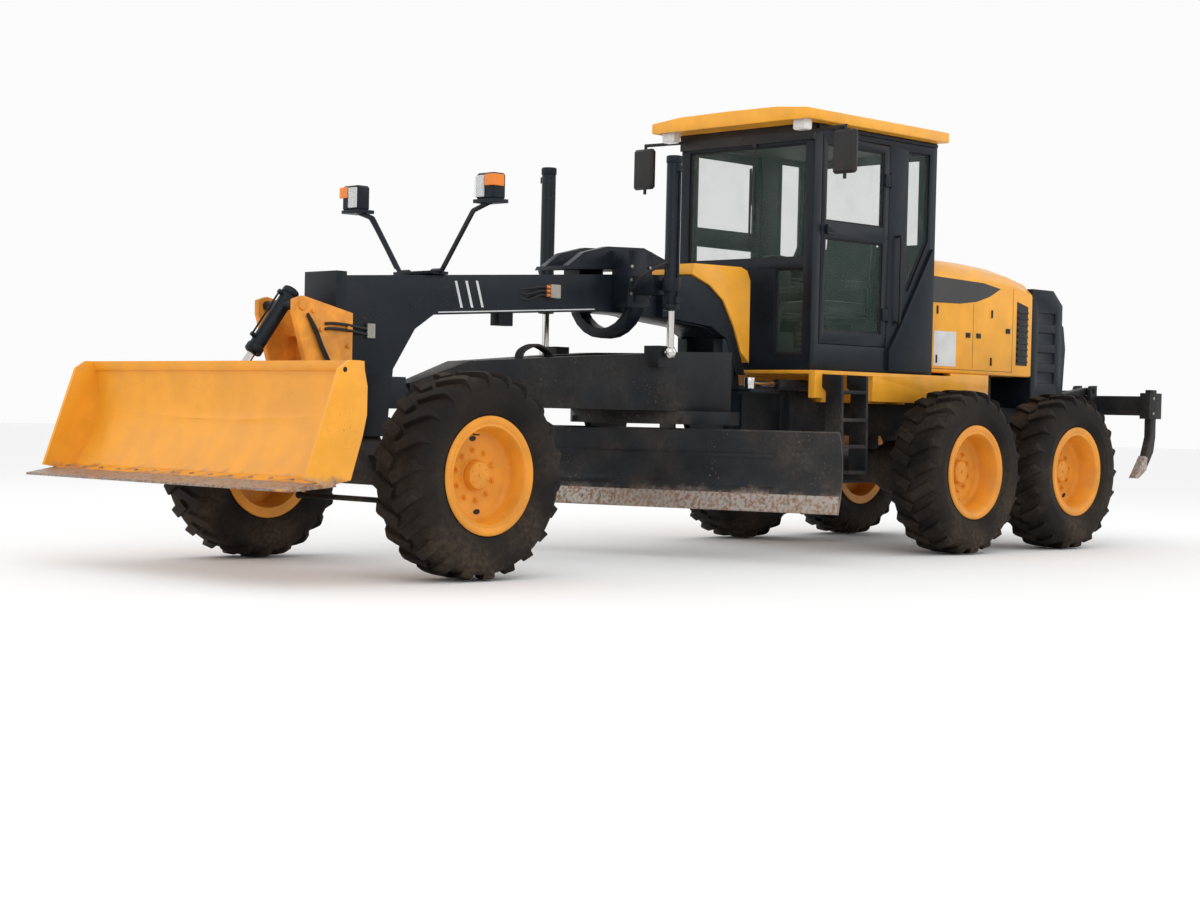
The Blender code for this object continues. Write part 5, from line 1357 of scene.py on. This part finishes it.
    def bracket_details(self) -> None:
        """Fit bolts, hoses and pins on the dozer bracket."""
        for side, word in SIDES:
            face = side * (self.half + 0.045)
            bolts = []
            for x, z in ((5.70, 1.62), (5.70, 1.50), (5.70, 1.38), (5.70, 1.26), (5.70, 1.14), (6.00, 1.72),
                         (5.93, 1.60)):
                bolts.append(Bench.drum("bolt", spot(x, face, z), spot(x, face + side * 0.014, z), 0.015,
                                        6))
            bolts.append(Bench.drum("pin", spot(6.088, face, 1.755),
                                    spot(6.088, face + side * 0.012, 1.755), 0.034, 24, 0.003))
            dress(Bench.joined(f"bracket_bolts_{word}", bolts), YELLOW_DUSTY, "front_body", Slot.YELLOW)
        for count, lift in enumerate((0.0, 0.035)):
            route = [spot(5.50, 0.176, 1.62 - lift), spot(5.60, 0.192, 1.63 - lift),
                     spot(5.72, 0.226, 1.64 - lift),
                     spot(5.84, 0.226, 1.645 - lift), spot(5.90, 0.222, 1.64 - lift)]
            dress(Bench.hose(f"bracket_hose_{count}", route, 0.010), HOSE_RUBBER, "front_body", Slot.TRIM)
            drop = [spot(6.05, 0.226, 1.70 - lift * 0.3), spot(5.98, 0.232, 1.60 - lift),
                    spot(5.93, 0.232, 1.50 - lift),
                    spot(5.87, 0.232, 1.40 - lift), spot(5.84, 0.226, 1.33 - lift)]
            dress(Bench.hose(f"bracket_drop_{count}", drop, 0.009), HOSE_RUBBER, "front_body", Slot.TRIM)
        clamp = Bench.block("hose_clamp", spot(5.44, 0.170, 1.56), spot(5.51, 0.192, 1.66), 0.005)
        dress(clamp, BOLT_STEEL, "front_body", Slot.STEEL)


@dataclass
class Moldboard:
    """Drawbar, circle and the moldboard with its bolted cutting edge."""

    centre: float = 2.42
    angle: float = 17.8
    shift: float = 0.14
    half_length: float = 1.83
    teeth: int = 72
    bolt_pitch: float = 0.152

    def turned(self, piece: bpy.types.Object) -> bpy.types.Object:
        """Turn a piece made square to the machine to the blade's angle about the circle's centre."""
        place = Matrix.Translation(spot(self.centre, 0,
                                        0)) @ Matrix.Rotation(math.radians(self.angle), 4, "Z")
        piece.data.transform(place)
        return piece

    def build(self) -> None:
        """Make the tools under the beam."""
        refine("drawbar", "drawbar", SLATE_LOW, Slot.SLATE, 0.006)
        refine("circle", "circle", SLATE_LOW, Slot.SLATE, 0.003)
        refine("blade_carrier", "blade_carrier", SLATE_LOW, Slot.SLATE, 0.003)
        refine("moldboard", "moldboard", SLATE_WORN, Slot.SLATE, 0.003)
        self.cutting_edge()
        self.gear()
        self.drawbar_details()

    def cutting_edge(self) -> None:
        """Fit three lengths of bare cutting edge and their bolts."""
        left = -self.shift - self.half_length + 0.004
        length = (self.half_length * 2 - 0.008) / 3
        parts = []
        for count in range(3):
            low = left + length * count + 0.0015
            high = left + length * (count + 1) - 0.0015
            outline = [Vector((0.4478, low, 0.5205)), Vector((0.4515, low, 0.5225)),
                       Vector((0.4880, low, 0.402)),
                       Vector((0.4878, low, 0.3935)), Vector((0.4780, low, 0.3935))]
            parts.append(Bench.plate("edge", outline, Vector((0, high - low, 0)), 0.0012))
        edge = self.turned(Bench.joined("cutting_edge", parts))
        dress(edge, CUT_STEEL, "moldboard", Slot.STEEL)
        face = Vector((0.4710, 0, 0.4600))
        out = Vector((0.957, 0, 0.291))
        bolt = Bench.drum("edge_bolt", face - out * 0.004, face + out * 0.0045, 0.0135, 16, 0.002)
        bolts = []
        place = left + 0.06
        while place < left + length * 3:
            bolts.append(Bench.copy_of(bolt, "edge_bolt_copy", Matrix.Translation((0, place, 0))))
            place += self.bolt_pitch
        bpy.data.objects.remove(bolt)
        dress(self.turned(Bench.joined("edge_bolts", bolts)), BOLT_STEEL, "moldboard", Slot.STEEL)

    def gear(self) -> None:
        """Fit the ring of teeth inside the circle."""
        tooth = Bench.plate("tooth",
                            [Vector((0.541, -0.017, 1.03)), Vector((0.541, 0.017, 1.03)),
                             Vector((0.512, 0.008, 1.03)),
                                      Vector((0.512, -0.008, 1.03))], Vector((0, 0, 0.07)), 0.002)
        ring = [Bench.copy_of(tooth, "tooth_copy", Matrix.Rotation(math.tau * n / self.teeth, 4, "Z"))
                for n in range(self.teeth)]
        bpy.data.objects.remove(tooth)
        dress(self.turned(Bench.joined("circle_teeth", ring)), CUT_STEEL, "circle", Slot.STEEL)

    def drawbar_details(self) -> None:
        """Loop hoses between the fittings on the drawbar's solid neck."""
        deck = 1.47
        for count, y in enumerate((0.08, 0.11, 0.14)):
            route = [spot(4.02, y, deck - 0.02), spot(3.99, y, deck + 0.06), spot(3.86, y, deck + 0.105),
                     spot(3.73, y, deck + 0.06), spot(3.70, y, deck - 0.005)]
            dress(Bench.hose(f"drawbar_hose_{count}", route, 0.012), HOSE_RUBBER, "drawbar", Slot.TRIM)


@dataclass
class DozerBlade:
    """Front blade with its bare lip, and the cylinder that lifts it."""

    half: float = 1.44
    lip_rear: tuple[float, float] = (6.775, 0.6685)
    lip_front: tuple[float, float] = (7.116, 0.6075)
    bolts: int = 14

    def build(self) -> None:
        """Make the front blade."""
        refine("dozer_blade", "dozer_blade", YELLOW_WORN, Slot.YELLOW, 0.005)
        refine("dozer_barrel", "dozer_barrel", SLATE, Slot.SLATE, 0.002)
        refine("dozer_rod", "dozer_rod", CHROME, Slot.STEEL, 0.002)
        (x0, z0), (x1, z1) = self.lip_rear, self.lip_front
        outline = [spot(x0, -self.half + 0.001, z0), spot(x1, -self.half + 0.001, z1),
                   spot(x1 + 0.003, -self.half + 0.001, z1 - 0.013),
                   spot(x1 - 0.006, -self.half + 0.001,
                        z1 - 0.013), spot(x0, -self.half + 0.001, z0 - 0.004)]
        lip = Bench.plate("dozer_lip", outline, Vector((0, self.half * 2 - 0.002, 0)))
        dress(lip, CUT_STEEL, "dozer_blade", Slot.STEEL)
        heads = []
        for count in range(self.bolts):
            y = -self.half + 0.10 + (self.half * 2 - 0.20) * count / (self.bolts - 1)
            foot = spot(6.86, y, 0.6525)
            heads.append(Bench.drum("lip_bolt", foot, foot + Vector((0.0012, 0, 0.0075)), 0.015, 16, 0.002))
        dress(Bench.joined("dozer_lip_bolts", heads), BOLT_STEEL, "dozer_blade", Slot.STEEL)
        for side, word in SIDES:
            face = side * (self.half + 0.0003)
            # Painted shade: a dark disc set into each end plate stands in for the shade inside the pin eye.
            holes = [Bench.drum("eye_shade", spot(6.72, face - side * 0.004, 1.315),
                                spot(6.72, face + side * 0.0008, 1.315), 0.016, 24, 0.0)]
            dress(Bench.joined(f"blade_eye_shade_{word}", holes), SEAL_RUBBER, "dozer_blade", Slot.YELLOW)
        self.cylinder()

    def cylinder(self) -> None:
        """Fit the gland, ports and steel pipe on the lift cylinder."""
        start = spot(6.088, 0, 1.755)
        along = (spot(6.455, 0, 1.265) - start).normalized()
        over = Vector((-along.z, 0, along.x))
        if over.z < 0:
            over = -over
        parts = [Bench.drum("gland", start + along * 0.345, start + along * 0.388, 0.060, 32, 0.004)]
        parts.append(Bench.drum("cap", start - along * 0.128, start - along * 0.085, 0.058, 32, 0.006))
        for reach in (-0.06, 0.30):
            foot = start + along * reach + over * 0.045
            parts.append(Bench.drum("port", foot, foot + over * 0.038, 0.016, 12, 0.003))
        line = [start + along * reach + over * 0.074 for reach in (-0.06, 0.05, 0.18, 0.30)]
        parts.append(Bench.hose("pipe", line, 0.007))
        dress(Bench.joined("dozer_cylinder_fittings", parts), SLATE, "dozer_barrel", Slot.SLATE)


@dataclass
class Ripper:
    """Rear ripper: arms, links, toolbar, shanks and their steel tips."""

    bar: float = -3.29
    half: float = 1.10
    shank_half: float = 0.03

    def build(self) -> None:
        """Make the ripper."""
        refine("ripper_arms", "ripper_arms", SLATE_LOW, Slot.SLATE)
        refine("ripper_links", "ripper_links", SLATE_LOW, Slot.SLATE)
        refine("ripper_toolbar", "ripper_toolbar", SLATE_LOW, Slot.SLATE)
        refine("ripper_barrel", "ripper_barrel", SLATE, Slot.SLATE, 0.002)
        refine("ripper_rod", "ripper_rod", CHROME, Slot.STEEL, 0.002)
        tips = []
        pins = []
        for y in (-self.half + 0.05, 0.0, self.half - 0.05):
            wide = self.shank_half + 0.004
            corners = ((0.085, 0.790), (0.135, 0.805), (0.275, 0.632), (0.306, 0.600), (0.236, 0.5965),
                       (0.095, 0.674))
            outline = [spot(self.bar + x, y - wide, z) for x, z in corners]
            tips.append(Bench.plate("tip", outline, Vector((0, wide * 2, 0)), 0.004))
            for z in (1.20, 1.34):
                pins.append(Bench.drum("pin", spot(self.bar + 0.04, y - 0.058, z),
                                       spot(self.bar + 0.04, y + 0.058, z), 0.014, 16))
        dress(Bench.joined("ripper_tips", tips), CUT_STEEL, "ripper_toolbar", Slot.STEEL)
        dress(Bench.joined("shank_pins", pins), BOLT_STEEL, "ripper_toolbar", Slot.STEEL)


@dataclass
class Hitch:
    """The two cylinders that articulate the frame."""

    def build(self) -> None:
        """Round and finish the barrels and rods."""
        for _, word in SIDES:
            refine(f"articulation_barrel_{word}", f"articulation_barrel_{word}", SLATE_LOW, Slot.SLATE,
                   0.002)
            refine(f"articulation_rod_{word}", f"articulation_rod_{word}", CHROME, Slot.STEEL, 0.002)


@dataclass
class Studio:
    """Floor, lights and camera."""

    camera_place: Place = (12.761, 11.096, 1.088)
    yaw: float = -134.094
    pitch: float = -1.394
    roll: float = 1.261
    lens: float = 63.19
    shift: tuple[float, float] = (0.0665, 0.0067)
    lights: list[tuple[Place, float, float]] = field(default_factory=lambda: [
        ((9.0, 9.0, 9.0), 9.0, 300.0),
        ((10.0, -6.0, 7.0), 8.0, 120.0),
        ((-8.0, 8.0, 8.0), 8.0, 160.0),
        ((-6.0, -8.0, 8.0), 9.0, 90.0),
    ])

    def floor(self) -> None:
        """Lay the pale floor."""
        Bench.clear()
        bpy.ops.mesh.primitive_plane_add(size=160, location=(0, 0, 0))
        piece = bpy.context.object
        piece.name = "studio_floor"
        material = bpy.data.materials.new("studio_floor")
        material.use_nodes = True
        shader = material.node_tree.nodes["Principled BSDF"]
        shader.inputs["Base Color"].default_value = (0.93, 0.93, 0.93, 1)
        shader.inputs["Roughness"].default_value = 0.9
        shader.inputs["Specular IOR Level"].default_value = 0.1
        piece.data.materials.append(material)

    def light(self) -> None:
        """Hang the soft lights and the pale surround."""
        world = bpy.data.worlds.new("surround")
        bpy.context.scene.world = world
        world.use_nodes = True
        world.node_tree.nodes["Background"].inputs["Color"].default_value = (1.0, 1.0, 1.0, 1)
        world.node_tree.nodes["Background"].inputs["Strength"].default_value = 0.97
        for place, size, power in self.lights:
            bpy.ops.object.light_add(type="AREA", location=place)
            lamp = bpy.context.object
            lamp.data.size = size
            lamp.data.energy = power
            aim = Vector((0, 0, 1.2)) - Vector(place)
            lamp.rotation_euler = aim.to_track_quat("-Z", "Y").to_euler()

    def camera(self) -> None:
        """Set the camera."""
        yaw, pitch, roll = (math.radians(a) for a in (self.yaw, self.pitch, self.roll))
        ahead = Vector((math.cos(pitch) * math.cos(yaw), math.cos(pitch) * math.sin(yaw), math.sin(pitch)))
        right = Vector((math.sin(yaw), -math.cos(yaw), 0))
        up = right.cross(ahead)
        level = right * math.cos(roll) + up * math.sin(roll)
        rise = up * math.cos(roll) - right * math.sin(roll)
        data = bpy.data.cameras.new("camera")
        data.sensor_width = 36
        data.sensor_fit = "HORIZONTAL"
        data.lens = self.lens
        data.shift_x, data.shift_y = self.shift
        data.clip_end = 400
        camera = bpy.data.objects.new("camera", data)
        bpy.context.scene.collection.objects.link(camera)
        rows = Matrix((level, rise, -ahead)).transposed().to_4x4()
        camera.matrix_world = Matrix.Translation(self.camera_place) @ rows
        bpy.context.scene.camera = camera

    def build(self) -> None:
        """Set up the studio."""
        self.camera()
        self.floor()
        self.light()
        bpy.context.scene.view_settings.view_transform = "Standard"


def main() -> None:
    """Build every sub-assembly in order."""
    logging.basicConfig(level=logging.INFO, format="%(name)s: %(message)s")
    Studio().build()
    Wheel(dish=0.16).fit([("front", FRONT_AXLE)])
    Wheel(dish=0.20).fit([("mid", 0.0), ("rear", REAR_AXLE)])
    for part in (RearBody(), Cab(), FrontBody(), Moldboard(), DozerBlade(), Ripper(), Hitch()):
        part.build()
        LOG.info("%s is built", type(part).__name__)


if __name__ == "__main__":
    main()
